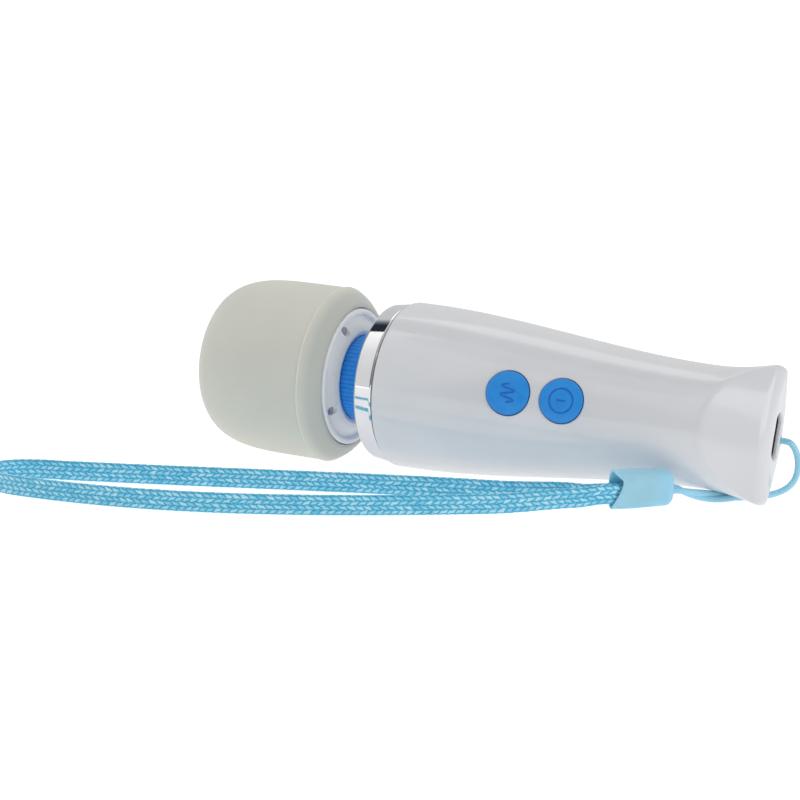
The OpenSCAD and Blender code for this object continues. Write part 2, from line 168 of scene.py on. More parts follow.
def tangents(path):
    """The unit direction of a path at each of its points."""
    ahead = np.gradient(path, axis=0)
    return ahead / np.linalg.norm(ahead, axis=1)[:, None]


def circle(n):
    """n even angles once round."""
    return np.linspace(0, 2 * math.pi, n, endpoint=False)


def quarter(steps):
    """For steps round a quarter turn, the shares of its radius left to go sideways and gone down."""
    return [(1 - math.sin(a), 1 - math.cos(a)) for a in (math.radians(90 * s) for s in steps)]


def joined(*runs):
    """Runs of points end to end, without the points that repeat."""
    points = np.vstack(runs)
    apart = np.linalg.norm(np.diff(points, axis=0), axis=1) > 1e-4
    return points[np.r_[True, apart]]


def rounded(corners, closed=True, steps=5):
    """An outline from (x, r, fillet) corners. A fillet of 0 leaves the corner sharp."""
    out = []
    n = len(corners)
    for k, (x, r, fillet) in enumerate(corners):
        here = np.array([x, r], float)
        if fillet == 0 or (not closed and k in (0, n - 1)):
            out.append(here)
            continue
        before = np.array(corners[k - 1][:2], float) - here
        after = np.array(corners[(k + 1) % n][:2], float) - here
        len_a, len_b = np.linalg.norm(before), np.linalg.norm(after)
        half = math.acos(np.clip(before @ after / len_a / len_b, -1, 1)) / 2
        cut = min(fillet / math.tan(half), 0.49 * len_a, 0.49 * len_b)
        start, end = here + before / len_a * cut, here + after / len_b * cut
        for t in np.linspace(0, 1, steps):
            out.append((1 - t) ** 2 * start + 2 * t * (1 - t) * here + t * t * end)
    return with_stops(np.array(out), closed)


def with_stops(outline, closed):
    """Adds points near both ends of an outline's long straight runs, so that they are shaded flat."""
    long, near = 0.6, 0.06
    out = []
    for k, here in enumerate(outline):
        out.append(here)
        if k + 1 == len(outline) and not closed:
            break
        run = outline[(k + 1) % len(outline)] - here
        length = np.linalg.norm(run)
        if length > long:
            out += [here + run * share for share in (near / length, 0.5, 1 - near / length)]
    return np.array(out)


# ---- meshes


class Shape:
    """Points and faces that grow piece by piece. Grids of point indices are skinned with quads."""

    def __init__(self):
        self.points = []
        self.faces = []
        self.count = 0

    def put(self, points):
        """Adds an array of points of any shape and returns their indices in that shape."""
        points = np.asarray(points, float)
        index = self.count + np.arange(points[..., 0].size).reshape(points.shape[:-1])
        self.points.append(points.reshape(-1, 3))
        self.count += index.size
        return index

    def skin(self, index, round_cols=False, round_rows=False, skip=None):
        """Quads over a grid of indices, which may close on itself either way."""
        index = np.asarray(index)
        if round_rows:
            index = np.vstack([index, index[:1]])
        if round_cols:
            index = np.hstack([index, index[:, :1]])
        quads = np.stack([index[:-1, :-1], index[:-1, 1:], index[1:, 1:], index[1:, :-1]], -1)
        keep = np.ones(quads.shape[:2], bool) if skip is None else ~skip
        self.faces.extend(map(tuple, quads[keep]))

    def fan(self, loop, centre):
        """Triangles from a closed loop to one point."""
        tip = int(self.put(centre))
        loop = list(loop)
        self.faces.extend((int(a), int(b), tip) for a, b in zip(loop, loop[1:] + loop[:1]))

    def tube(self, rings):
        """A closed skin over rings of points, with a cap at each end."""
        index = self.put(rings)
        self.skin(index, round_cols=True)
        for end in (0, -1):
            self.fan(index[end], np.asarray(rings[end]).mean(0))

    def prism(self, outline, offset):
        """A flat outline pushed along an offset."""
        outline = np.asarray(outline, float)
        self.tube([outline, outline + np.asarray(offset, float)])


def added(name, data):
    """A new object in the scene."""
    thing = bpy.data.objects.new(name, data)
    bpy.context.scene.collection.objects.link(thing)
    return thing


def make_piece(name, shape, body=None, node=None, look=None, sharp=40, traits=None, place=lay_down):
    """A mesh object of the shape, on a body, in place of a CAD node. It has that node's look unless `look`
    names another. traits are numbers per point that the material reads."""
    points = np.vstack(shape.points)
    used = np.unique(np.concatenate([np.ravel(f) for f in shape.faces]))
    renumber = np.full(len(points), -1)
    renumber[used] = np.arange(len(used))
    mesh = bpy.data.meshes.new(name)
    faces = [tuple(int(renumber[v]) for v in f) for f in shape.faces]
    mesh.from_pydata((place(points[used]) * MM).tolist(), [], faces)
    bm = bmesh.new()
    bm.from_mesh(mesh)
    bmesh.ops.recalc_face_normals(bm, faces=bm.faces)
    bm.to_mesh(mesh)
    bm.free()
    for trait, values in (traits or {}).items():
        attribute = mesh.attributes.new(trait, "FLOAT", "POINT")
        attribute.data.foreach_set("value", np.asarray(values, np.float32)[used])
    piece = added(name, mesh)
    mesh.materials.append(LOOKS[look or SLOTS[node]])
    shade(piece, sharp)
    if body:
        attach(piece, body)
    if node:
        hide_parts(node)
    return piece


def shade(piece, sharp):
    """Smooth shading, with creases where faces meet at more than `sharp` degrees."""
    piece.data.polygons.foreach_set("use_smooth", [True] * len(piece.data.polygons))
    piece.data.set_sharp_from_angle(angle=math.radians(sharp))


def combine(piece, cutters, operation):
    """Adds cutters to a piece, or takes them out of it, and deletes them."""
    for cutter in cutters:
        change = piece.modifiers.new("change", "BOOLEAN")
        change.operation = operation
        change.solver = "EXACT"
        change.object = cutter
        bpy.context.view_layer.update()
        changed = bpy.data.meshes.new_from_object(
            piece.evaluated_get(bpy.context.evaluated_depsgraph_get())
        )
        piece.modifiers.clear()
        piece.data = changed
        bpy.data.objects.remove(cutter)


def turned(profile, turns, cut=0.0):
    """A closed solid of revolution about the wand's axis, from an outline of (x, r) points, with `cut`
    taken off the radius. An outline that starts and ends on the axis gets a pole at each end."""
    profile = np.asarray(profile, float)
    poles = profile[0, 1] < 1e-6
    body = profile[1:-1] if poles else profile
    x, radius, angle = np.broadcast_arrays(body[:, :1], body[:, 1:] - cut, circle(turns))
    shape = Shape()
    index = shape.put(np.stack([x, radius * np.cos(angle), radius * np.sin(angle)], -1))
    shape.skin(index, round_cols=True, round_rows=not poles)
    if poles:
        shape.fan(index[0], [profile[0, 0], 0, 0])
        shape.fan(index[-1], [profile[-1, 0], 0, 0])
    return shape


def swept(path, radius, sides):
    """Rings of points round a path, with a frame that turns as little as it can."""
    path = np.asarray(path, float)
    ahead = tangents(path)
    normal = np.cross(ahead[0], (0, 0, 1))
    angle = circle(sides)
    rings = []
    for p, t, r in zip(path, ahead, np.broadcast_to(radius, (len(path),))):
        normal = normal - t * (normal @ t)
        normal /= np.linalg.norm(normal)
        across = np.cross(t, normal)
        rings.append(p + r * (np.cos(angle)[:, None] * normal + np.sin(angle)[:, None] * across))
    return np.array(rings)


# ---- materials


LOOKS = {}


class Look:
    """A procedural material: a Principled shader and the nodes that feed it, kept by name in LOOKS."""

    def __init__(self, name, **values):
        self.material = LOOKS[name] = bpy.data.materials.new(name)
        self.material.use_nodes = True
        self.tree = self.material.node_tree
        self.shader = self.tree.nodes["Principled BSDF"]
        self.place = self.node("ShaderNodeTexCoord").outputs["Object"]
        for key, value in values.items():
            self.shader.inputs[key.replace("_", " ")].default_value = value

    def node(self, kind, inputs=None, **settings):
        node = self.tree.nodes.new(kind)
        for key, value in settings.items():
            setattr(node, key, value)
        for key, value in (inputs or {}).items():
            if isinstance(value, bpy.types.NodeSocket):
                self.tree.links.new(value, node.inputs[key])
            else:
                node.inputs[key].default_value = value
        return node

    def noise(self, size, detail=3, place=None):
        """Noise whose features are about `size` mm across."""
        inputs = {"Vector": place or self.place, "Scale": 1 / (size * MM), "Detail": detail}
        return self.node("ShaderNodeTexNoise", inputs).outputs["Fac"]

    def spots(self, size):
        """Distance to the nearest of many scattered points, about `size` mm apart."""
        inputs = {"Vector": self.place, "Scale": 1 / (size * MM)}
        return self.node("ShaderNodeTexVoronoi", inputs).outputs["Distance"]

    def trait(self, name):
        return self.node("ShaderNodeAttribute", attribute_name=name).outputs["Fac"]

    def maths(self, operation, a, b=0.0):
        return self.node("ShaderNodeMath", {0: a, 1: b}, operation=operation).outputs[0]

    def mapped(self, value, low, high, to_low=0.0, to_high=1.0):
        """value taken from low..high to to_low..to_high."""
        inputs = {0: value, 1: low, 2: high, 3: to_low, 4: to_high}
        return self.node("ShaderNodeMapRange", inputs).outputs[0]

    def ramp(self, value, stops):
        """Colours along value: stops are (position, colour)."""
        node = self.node("ShaderNodeValToRGB", {"Fac": value})
        elements = node.color_ramp.elements
        while len(elements) < len(stops):
            elements.new(0.5)
        for element, (position, colour) in zip(elements, stops):
            element.position = position
            element.color = rgba(colour)
        return node.outputs["Color"]

    def coated(self, under, colour, where, share=1.0):
        """A colour laid over another, to a share of its strength, where a value is 1."""
        amount = where if share == 1.0 else self.maths("MULTIPLY", where, share)
        inputs = {0: amount, 6: under, 7: rgba(colour)}
        return self.node("ShaderNodeMix", inputs, data_type="RGBA").outputs[2]

    def mottled(self, size, detail, dark, light, low=0.3, high=0.7):
        """A colour that drifts between two shades."""
        return self.ramp(self.noise(size, detail), [(low, dark), (high, light)])

    def feed(self, socket, value):
        self.tree.links.new(value, self.shader.inputs[socket])

    def colour(self, value):
        self.feed("Base Color", value)

    def gloss(self, size, detail, low, high):
        """Roughness that drifts between low and high."""
        self.feed("Roughness", self.mapped(self.noise(size, detail), 0.3, 0.7, low, high))

    def bump(self, height, depth):
        """Bump from a height of 0..1 that stands for `depth` mm, on top of any bump so far."""
        inputs = {"Height": height, "Distance": depth * MM, "Strength": 1.0}
        if self.shader.inputs["Normal"].links:
            inputs["Normal"] = self.shader.inputs["Normal"].links[0].from_socket
        self.feed("Normal", self.node("ShaderNodeBump", inputs).outputs["Normal"])

    def grain(self, size, detail, depth):
        """A surface texture of noise, `depth` mm deep."""
        self.bump(self.noise(size, detail), depth)


def rgba(colour):
    """A colour as it looks on a screen, 0 to 255, in the linear values that nodes use."""
    c = np.array(colour[:3], float) / 255
    linear = np.where(c <= 0.04045, c / 12.92, ((c + 0.055) / 1.055) ** 2.4)
    return (*linear, 1.0)


def moulded(name, colour, roughness, grain=0.35, depth=0.004, tint=6, **more):
    """Moulded plastic: faint flow marks in the colour, a fine surface texture and uneven gloss."""
    look = Look(name, **more)
    look.colour(look.mottled(9, 4, [c - tint for c in colour], colour, 0.35, 0.65))
    look.gloss(3, 5, roughness * 0.85, roughness * 1.2)
    look.grain(grain, 4, depth)


def metal(name, colour, roughness, brushed=0.0, tint=14):
    """Metal with uneven polish, and fine lines round the wand's axis where it is brushed."""
    look = Look(name, Metallic=1.0)
    look.colour(look.mottled(2.5, 5, [c - tint for c in colour], colour))
    look.gloss(0.8, 5, roughness * 0.8, roughness * 1.25)
    if brushed:
        stretch = look.node("ShaderNodeMapping", {"Vector": look.place, "Scale": (14, 1, 1)})
        look.bump(look.noise(0.9, 4, stretch.outputs[0]), brushed)


def shell_white():
    """Polished white plastic: a clear coat with the faint waviness of moulding, over a cooler body."""
    look = Look("gloss_white", Specular_IOR_Level=0.5, Coat_Weight=0.35, Coat_Roughness=0.04)
    look.colour(look.mottled(14, 3, (226, 227, 230), (231, 232, 234)))
    look.gloss(5, 5, 0.13, 0.2)
    look.grain(7, 2, 0.01)
    look.grain(0.5, 3, 0.0006)


def cushion_silicone():
    """Matte silicone: soft, slightly mottled and dusty, with painted shade on its shoulder behind the seam and a
    paler moulding line at its seam.
    """
    look = Look("cushion_grey", Subsurface_Weight=0.12, Subsurface_Scale=0.002, Sheen_Weight=0.25,
                Sheen_Roughness=0.5, Specular_IOR_Level=0.35)
    look.shader.inputs["Subsurface Radius"].default_value = (1.0, 0.9, 0.75)
    body = look.mottled(12, 5, (217, 217, 206), (221, 221, 209))
    # Painted shade: the shoulder behind the seam is darkened towards grey.
    body = look.coated(body, (196, 199, 191), look.trait("shoulder"), 0.9)
    body = look.coated(body, (232, 231, 221), look.mapped(look.noise(0.5, 2), 0.66, 0.76), 0.25)
    look.colour(look.coated(body, (233, 231, 220), look.trait("seam"), 0.8))
    look.gloss(4, 5, 0.5, 0.62)
    look.grain(0.22, 5, 0.012)
    look.grain(6, 2, 0.03)


def neck_rubber():
    """Blue silicone, with painted shade between its ribs."""
    look = Look("neck_blue", Specular_IOR_Level=0.4, Sheen_Weight=0.15)
    # Painted shade: deeper blue between the ribs, lighter on their crests.
    stops = [(0.0, (18, 128, 234)), (0.5, (24, 149, 252)), (1.0, (32, 159, 255))]
    ribs = look.ramp(look.trait("rib_shade"), stops)
    look.colour(look.coated(ribs, (18, 100, 200), look.mapped(look.noise(1.2, 4), 0.4, 0.8, 0, 0.25)))
    look.gloss(0.6, 4, 0.42, 0.58)
    look.grain(0.15, 4, 0.006)


def button_plastic():
    """Satin blue plastic with a fine spark-eroded texture, painted shade round the cap's rounded rim, and darker
    in the engraved symbol: partly a darker colour, partly painted shade in its groove.
    """
    look = Look("button_blue", Specular_IOR_Level=0.45, Subsurface_Weight=0.05, Subsurface_Scale=0.0005)
    body = look.mottled(2, 4, (34, 145, 230), (42, 153, 238))
    # Painted shade, deepening from the top of the cap over its rounded rim.
    body = look.coated(body, (24, 110, 196), look.mapped(look.trait("edge"), 0, 1, 0, 0.45))
    # The engraved symbol: partly a darker colour, partly painted shade in the groove.
    look.colour(look.coated(body, (28, 116, 206), look.trait("groove")))
    look.gloss(0.5, 5, 0.34, 0.46)
    look.grain(0.12, 3, 0.008)


def braid_yarn():
    """Shiny braid: painted shade of deep blue between the stitches, painted highlight on their crests, streaked by
    filaments.
    """
    look = Look("ribbon_blue", Specular_IOR_Level=0.55, Sheen_Weight=0.3, Sheen_Roughness=0.4)
    height = look.trait("crest")
    streaks = look.node("ShaderNodeCombineXYZ", {0: look.trait("streak_u"), 1: look.trait("streak_v")})
    filaments = look.noise(0.5, 3, streaks.outputs[0])
    height = look.maths("ADD", height, look.mapped(filaments, 0.3, 0.7, -0.12, 0.12))
    # Painted shade in the deep blue between the stitches, painted highlight in the near white on their crests.
    look.colour(look.ramp(height, [
        (0.1, (24, 118, 168)), (0.4, (66, 172, 214)), (0.7, (108, 208, 240)), (0.92, (196, 242, 255))]))
    look.feed("Roughness", look.mapped(filaments, 0.3, 0.7, 0.34, 0.52))
    look.bump(filaments, 0.03)


def cord_yarn():
    """Thin elastic cord with a very fine braided cover, painted shade in the hollows of its weave and a painted
    highlight on its crests.
    """
    look = Look("cord_blue", Specular_IOR_Level=0.55, Sheen_Weight=0.3)
    # Painted shade in the weave's hollows and painted highlight on its crests, with random tone from the noise.
    weave = look.maths("ADD", look.trait("crest"), look.mapped(look.noise(0.8, 4), 0.3, 0.7, -0.2, 0.2))
    look.colour(look.ramp(weave, [(0.0, (140, 212, 244)), (0.5, (160, 224, 250)), (1.0, (180, 236, 255))]))
    look.gloss(0.3, 4, 0.36, 0.5)
    look.grain(0.12, 3, 0.02)


def tag_vinyl():
    """Soft vinyl that lets some light through, with a faint mould texture and scuffs."""
    look = Look("tag_blue", Subsurface_Weight=0.4, Subsurface_Scale=0.002, Transmission_Weight=0.08,
                Specular_IOR_Level=0.45)
    look.shader.inputs["Subsurface Radius"].default_value = (0.45, 0.85, 1.0)
    look.colour(look.mottled(3, 4, (168, 224, 252), (174, 228, 254)))
    look.gloss(0.9, 5, 0.36, 0.5)
    look.grain(0.25, 4, 0.008)


def circuit_board():
    """Green solder mask over the board's weave, with tinned pads."""
    look = Look("board_green", Specular_IOR_Level=0.5, Coat_Weight=0.4, Coat_Roughness=0.15)
    pads = look.mapped(look.spots(1.6), 0.16, 0.2, 1.0, 0.0)
    mask = look.mottled(1.5, 4, (18, 84, 48), (28, 108, 62), 0.4, 0.6)
    look.colour(look.coated(mask, (196, 196, 190), pads))
    look.feed("Metallic", pads)
    look.feed("Roughness", look.mapped(pads, 0, 1, 0.38, 0.28))
    look.bump(pads, 0.03)


def wound_copper():
    """Enamelled copper wire in close turns, with painted shade between the turns."""
    look = Look("copper", Metallic=1.0)
    inputs = {"Vector": look.place, "Scale": 900.0, "Distortion": 1.5, "Detail": 2.0}
    turns = look.node("ShaderNodeTexWave", inputs, bands_direction="X").outputs["Fac"]
    # Painted shade: dark in the grooves between turns, bright on the wire.
    look.colour(look.ramp(turns, [(0.1, (120, 58, 28)), (0.7, (206, 122, 70))]))
    look.feed("Roughness", look.mapped(turns, 0, 1, 0.5, 0.28))
    look.bump(turns, 0.05)


def foam_pad():
    """Dark open foam, with painted shade in its pores."""
    look = Look("foam", Specular_IOR_Level=0.2)
    cells = look.spots(0.5)
    # Painted shade: darkest in the pores, which the bump sinks.
    look.colour(look.ramp(cells, [(0.1, (20, 20, 22)), (0.6, (58, 58, 62))]))
    look.feed("Roughness", look.mapped(cells, 0, 1, 0.95, 0.75))
    look.bump(cells, 0.1)


shell_white()
moulded("satin_white", (247, 247, 245), 0.3, tint=3, Specular_IOR_Level=0.5)
metal("chrome", (232, 233, 236), 0.05, tint=4)
circuit_board()
metal("steel", (196, 198, 202), 0.26, brushed=0.012)
metal("port_steel", (74, 76, 78), 0.45, tint=16)
moulded("black_plastic", (38, 38, 41), 0.42, depth=0.01)
moulded("ivory_plastic", (224, 221, 208), 0.38)
moulded("cell_wrap", (44, 100, 178), 0.22, grain=2.5, depth=0.02, Coat_Weight=0.4)
foam_pad()
moulded("wire_red", (190, 36, 34), 0.4, grain=0.3, tint=16)
moulded("wire_black", (34, 34, 37), 0.42, grain=0.3)
moulded("wire_orange", (226, 128, 36), 0.4, grain=0.3, tint=16)
button_plastic()
neck_rubber()
cushion_silicone()
metal("magnet", (84, 85, 90), 0.6, tint=20)
wound_copper()
metal("bronze", (190, 152, 88), 0.4, tint=26)
moulded("isolator_rubber", (48, 48, 52), 0.7, grain=0.5, depth=0.02)
metal("lamination", (150, 151, 156), 0.38, brushed=0.05)
metal("weight_metal", (164, 164, 168), 0.48, tint=24)
cord_yarn()
tag_vinyl()
braid_yarn()

for node, piece in frame["nodes"].items():
    piece.data.materials.clear()
    piece.data.materials.append(LOOKS[SLOTS[node]])
    shade(piece, 35)


# ---- handle surface


def handle_r(x):
    """Radius of the handle, as if its flared tail had no flat faces."""
    x = np.asarray(x, float)
    flare = np.clip(x - WAIST_X, 0, FLARE_LEN) / FLARE_LEN
    taper = smooth((WAIST_X - x) / (WAIST_X - BELLY_X))
    return WAIST_R + (BELLY_R - WAIST_R) * taper + (TAIL_R - WAIST_R) * flare**FLARE_POWER


def flat_y(x):
    """How far the tail's flat faces are from its middle, as if they were not bowed."""
    return TAIL_HALF + (TAIL_X - x) * math.tan(FACET)


def round_max(a, b, radius):
    """The larger of two distances, with the corner between them rounded."""
    outside = np.hypot(np.maximum(a + radius, 0), np.maximum(b + radius, 0))
    return np.minimum(np.maximum(a, b), -radius) + outside


def handle_distance(p):
    """Below 0 inside the handle, 0 on its skin: a flared body, two nearly flat faces and an end face."""
    x, y, z = np.moveaxis(p, -1, 0)
    body = np.hypot(y, z) - handle_r(x)
    half = TAIL_HALF - FACET_BOW * z * z
    facet = (np.abs(y) - half) * math.cos(FACET) + (x - TAIL_X) * math.sin(FACET)
    return round_max(round_max(body, facet, FACET_ROUND), x - TAIL_X, TAIL_ROUND)


def cast(origin, target, depth=0.0):
    """Where rays from inside the handle, through their targets, come within `depth` of the skin."""
    furthest, halvings = 6.0, 40
    low = np.zeros(target.shape[:-1])
    high = low + furthest
    for _ in range(halvings):
        middle = (low + high) / 2
        inside = handle_distance(origin + (target - origin) * middle[..., None]) < -depth
        low = np.where(inside, middle, low)
        high = np.where(inside, high, middle)
    return origin + (target - origin) * low[..., None]


def slot_radius(q, grow=0.0):
    """Distance from the middle of the charging slot to its edge, at angle q from the top."""
    r = SLOT_HALF_T + grow
    c = SLOT_HALF_W - SLOT_HALF_T
    sine, cosine = np.sin(q), np.abs(np.cos(q))
    flat = r / np.maximum(sine, 1e-6)
    end = c * cosine + np.sqrt(np.maximum(r * r - (c * sine) ** 2, 0))
    return np.where(flat * cosine <= c, flat, end)


def column_angles(radius):
    """Angles from the top of the handle, down one side, to its bottom, for points at a radius.
    They start and end at the seam's fillet."""
    first = np.arcsin(np.clip((SEAM_GAP + SEAM_FILLET) / radius, 0, 1))
    share = np.linspace(0, 1, COLUMNS + 1)
    return first[..., None] + (math.pi - 2 * first[..., None]) * share


def on_side(x, radius, q, side):
    """Points at a radius and an angle from the top, on one side of the seam."""
    x, radius, q = np.broadcast_arrays(x, radius, q)
    return np.stack([x, side * radius * np.sin(q), radius * np.cos(q)], -1)


def seam_columns(grid, side, depth):
    """Adds columns that turn a grid's first and last columns over the seam's edge."""
    def over(column, inward, down):
        moved = column.copy()
        moved[:, 1] = side * (SEAM_GAP + (np.abs(column[:, 1]) - SEAM_GAP) * inward)
        moved[:, 2] -= depth * down * column[:, 2] / np.hypot(column[:, 1], column[:, 2])
        return moved
    steps = quarter(ROUNDING)
    first = [over(grid[:, 0], *step) for step in steps[::-1]]
    last = [over(grid[:, -1], *step) for step in steps]
    return np.stack(first + list(np.moveaxis(grid, 1, 0)) + last, 1)


def shell_grids(side, body_x):
    """The outer and inner skins of one handle shell, as grids of points with the same rows."""
    xs = np.r_[CASING_FRONT + np.array(LIP_X), body_x]
    drop = np.r_[LIP_DROP, np.zeros(len(body_x))]
    origin = np.stack([xs, 0 * xs, 0 * xs], -1)[:, None]
    slot_q = column_angles(np.array(SLOT_HALF_W))
    fan = np.array([FAN_X, 0, 0])
    target_r, fine = 10.0, 240

    def body(depth):
        q = column_angles(handle_r(xs) - depth)
        return cast(origin, on_side(xs[:, None], target_r, q, side), depth)

    def tail(depth, end_x, grow, rows):
        """From the last body row over the end of the tail to the charging slot."""
        q = column_angles(np.array(handle_r(FAN_X) - depth))
        start = cast(fan, on_side(FAN_X, target_r, q, side), depth)
        goal = on_side(end_x, slot_radius(slot_q, grow), slot_q, side)
        share = np.linspace(0, 1, fine)[:, None, None]
        path = cast(fan, start * (1 - share) + goal * share, depth)
        path[-1] = goal
        return np.stack([even(path[:, k], rows + 1) for k in range(path.shape[1])], 1)[1:]

    outer = body(0.0)
    outer[..., 1:] *= (1 - drop / handle_r(xs))[:, None, None]
    rows = 56
    rim = [
        on_side(TAIL_X - SLOT_FILLET * down, slot_radius(slot_q, SLOT_FILLET * inward), slot_q, side)
        for inward, down in quarter(ROUNDING)]
    outer = np.concatenate([outer, tail(0.0, TAIL_X, SLOT_FILLET, rows), np.array(rim)])
    inner = np.concatenate([body(WALL), tail(WALL, TAIL_X - WALL, 0.0, rows + len(rim))])
    return seam_columns(outer, side, SEAM_FILLET), seam_columns(inner, side, 0.0)


# ---- button places

BUTTON_ORIGIN = np.array([BUTTON_X, -float(handle_r(BUTTON_X)), 0.0])
BUTTON_U = np.array([math.cos(BUTTON_TILT), math.sin(BUTTON_TILT), 0.0])
BUTTON_V = np.array([0.0, 0.0, 1.0])
BUTTON_W = np.array([math.sin(BUTTON_TILT), -math.cos(BUTTON_TILT), 0.0])


def placed(origin, axes, *amounts):
    """Points given as amounts along three axes from an origin."""
    a, b, c = (amount[..., None] for amount in np.broadcast_arrays(*amounts))
    return origin + a * axes[0] + b * axes[1] + c * axes[2]


def from_button(u, v, w):
    """A point given along the handle (u), up (v) and out of the handle (w) at the buttons."""
    return placed(BUTTON_ORIGIN, (BUTTON_U, BUTTON_V, BUTTON_W), u, v, w)


def skin_height(u, v, depth=0.0):
    """How far out the handle's skin is at a place on the buttons' plane."""
    w = np.zeros(np.broadcast(u, v).shape)
    for _ in range(12):
        x = from_button(u, v, w)[..., 0]
        y = -np.sqrt((handle_r(x) - depth) ** 2 - v * v)
        w = (BUTTON_ORIGIN[1] + u * BUTTON_U[1] - y) / -BUTTON_W[1]
    return w


def body_stations():
    """Rows along the handle: fine at the buttons, with a row at each side of each button's patch."""
    half = BUTTON_PITCH / 2 * math.cos(BUTTON_TILT)
    stops = [CASING_FRONT + LIP, BUTTON_X - half, BUTTON_X + half, BUTTON_X + 3 * half, WAIST_X]
    runs = [np.linspace(a, b, n)[:-1] for a, b, n in zip(stops, stops[1:], (30, PATCH + 1, PATCH + 1, 26))]
    first = len(LIP_X) + len(runs[0])
    return np.r_[(*runs, np.linspace(WAIST_X, FAN_X, 13))], (first, first + PATCH)


def patch_outline(row):
    """Index pairs round the square of cells that a button's hole takes up, from its first row."""
    steps, last_row, last_col = range(PATCH), row + PATCH, PATCH_COL + PATCH
    return (
        [(row + k, PATCH_COL) for k in steps] + [(last_row, PATCH_COL + k) for k in steps]
        + [(last_row - k, last_col) for k in steps] + [(row, last_col - k) for k in steps])


def unrolled(points):
    """The place along the handle and the angle from its top of each point on its button side."""
    return np.column_stack([points[:, 0], np.arctan2(-points[:, 1], points[:, 2])])


def button_hole(shape, grid, index, row, centre_u, radius, depth):
    """Turns a square block of the skin's grid into rings round a button's hole. Returns the last ring
    and the angles of its points."""
    outline = patch_outline(row)
    rim = np.array([grid[i, j] for i, j in outline])
    offset = (rim - BUTTON_ORIGIN) @ np.column_stack([BUTTON_U, BUTTON_V])
    start = math.atan2(offset[0, 1], offset[0, 0] - centre_u)
    later = math.atan2(offset[1, 1], offset[1, 0] - centre_u)
    sense = 1 if (later - start + math.pi) % (2 * math.pi) > math.pi else -1
    angle = start + sense * circle(len(outline))
    u, v = centre_u + radius * np.cos(angle), radius * np.sin(angle)
    near, far = unrolled(rim), unrolled(from_button(u, v, skin_height(u, v, depth)))
    loops = [np.array([index[i, j] for i, j in outline])]
    for share in (0.2, 0.4, 0.6, 0.8, 1.0):
        x, q = ((1 - share) * near + share * far).T
        loops.append(shape.put(on_side(x, handle_r(x) - depth, q, -1)))
    shape.skin(np.array(loops), round_cols=True)
    return loops[-1], angle


def handle_shell(side, holes):
    """One half of the handle as a closed wall, with a round hole for each button."""
    body_x, rows = body_stations()
    outer, inner = shell_grids(side, body_x)
    shape = Shape()
    out, inn = shape.put(outer), shape.put(inner)
    skip = np.zeros((outer.shape[0] - 1, outer.shape[1] - 1), bool)
    for row, centre_u in zip(rows, holes):
        skip[row:row + PATCH, PATCH_COL:PATCH_COL + PATCH] = True
        top, angle = button_hole(shape, outer, out, row, centre_u, HOLE_R + HOLE_FILLET, 0.0)
        bottom, _ = button_hole(shape, inner, inn, row, centre_u, HOLE_R, WALL)
        wall = [top]
        for inward, down in quarter(ROUNDING):
            r = HOLE_R + HOLE_FILLET * inward
            u, v = centre_u + r * np.cos(angle), r * np.sin(angle)
            wall.append(shape.put(from_button(u, v, skin_height(u, v) - HOLE_FILLET * down)))
        shape.skin(np.array(wall + [bottom]), round_cols=True)
    shape.skin(out, skip=skip)
    shape.skin(inn, skip=skip)
    for a, b in ((out[0], inn[0]), (out[-1], inn[-1]), (out[:, 0], inn[:, 0]), (out[:, -1], inn[:, -1])):
        shape.skin(np.array([a, b]))
    return shape


# ---- handle pieces


def eye_path(start_x, end_y):
    """Middle line of the eye: in at the end face, round a bend, out at the rear flat."""
    bend, pull, n = 1.3, 0.45, 14
    corner = np.array([EYE_TURN_X, EYE_Y, EYE_Z])
    before, after = corner + [bend, 0, 0], corner + [0, bend, 0]
    run_in = np.linspace([start_x, EYE_Y, EYE_Z], before, n)
    run_out = np.linspace(after, [EYE_TURN_X, end_y, EYE_Z], n)
    turn = bezier([before, corner + [bend * pull, 0, 0], corner + [0, bend * pull, 0], after], 8)
    return joined(run_in, turn, run_out)


def make_shells():
    """The handle's halves: holes, posts and tabs in the front one, ribs and the eye in the rear one."""
    front = handle_shell(-1, (0.0, BUTTON_PITCH))
    screw_posts(front)
    shell_tabs(front)
    make_piece("shell_front", front, "handle", "casing_front")
    rear = handle_shell(1, ())
    battery_ribs(rear)
    cord_eye(make_piece("shell_rear", rear, "handle", "casing_rear"))


def cord_eye(piece):
    """Adds a block inside the tail and cuts the cord's eye through it, flared at both mouths."""
    inset, base_y, bottom_z, height = 0.5, 2.35, -3.2, 5.4
    front_x, back_x = 98.8, TAIL_X - inset
    outline = [(front_x, base_y), (back_x, base_y)]
    outline += [(x, flat_y(x) - inset) for x in (back_x, front_x)]
    block, bore = Shape(), Shape()
    block.prism([(x, y, bottom_z) for x, y in outline], (0, 0, height))
    path = even(eye_path(TAIL_X + 1.5, 10.5), 60)
    depth = np.minimum(np.abs(path[:, 0] - TAIL_X), np.abs(path[:, 1] - flat_y(EYE_TURN_X)))
    flare, flare_depth = 0.45, 0.7
    bore.tube(swept(path, EYE_R + flare * np.clip(1 - depth / flare_depth, 0, 1) ** 2, 40))
    combine(piece, [make_piece("eye_block", block, look="gloss_white")], "UNION")
    combine(piece, [make_piece("eye_bore", bore, look="gloss_white")], "DIFFERENCE")
    shade(piece, 40)


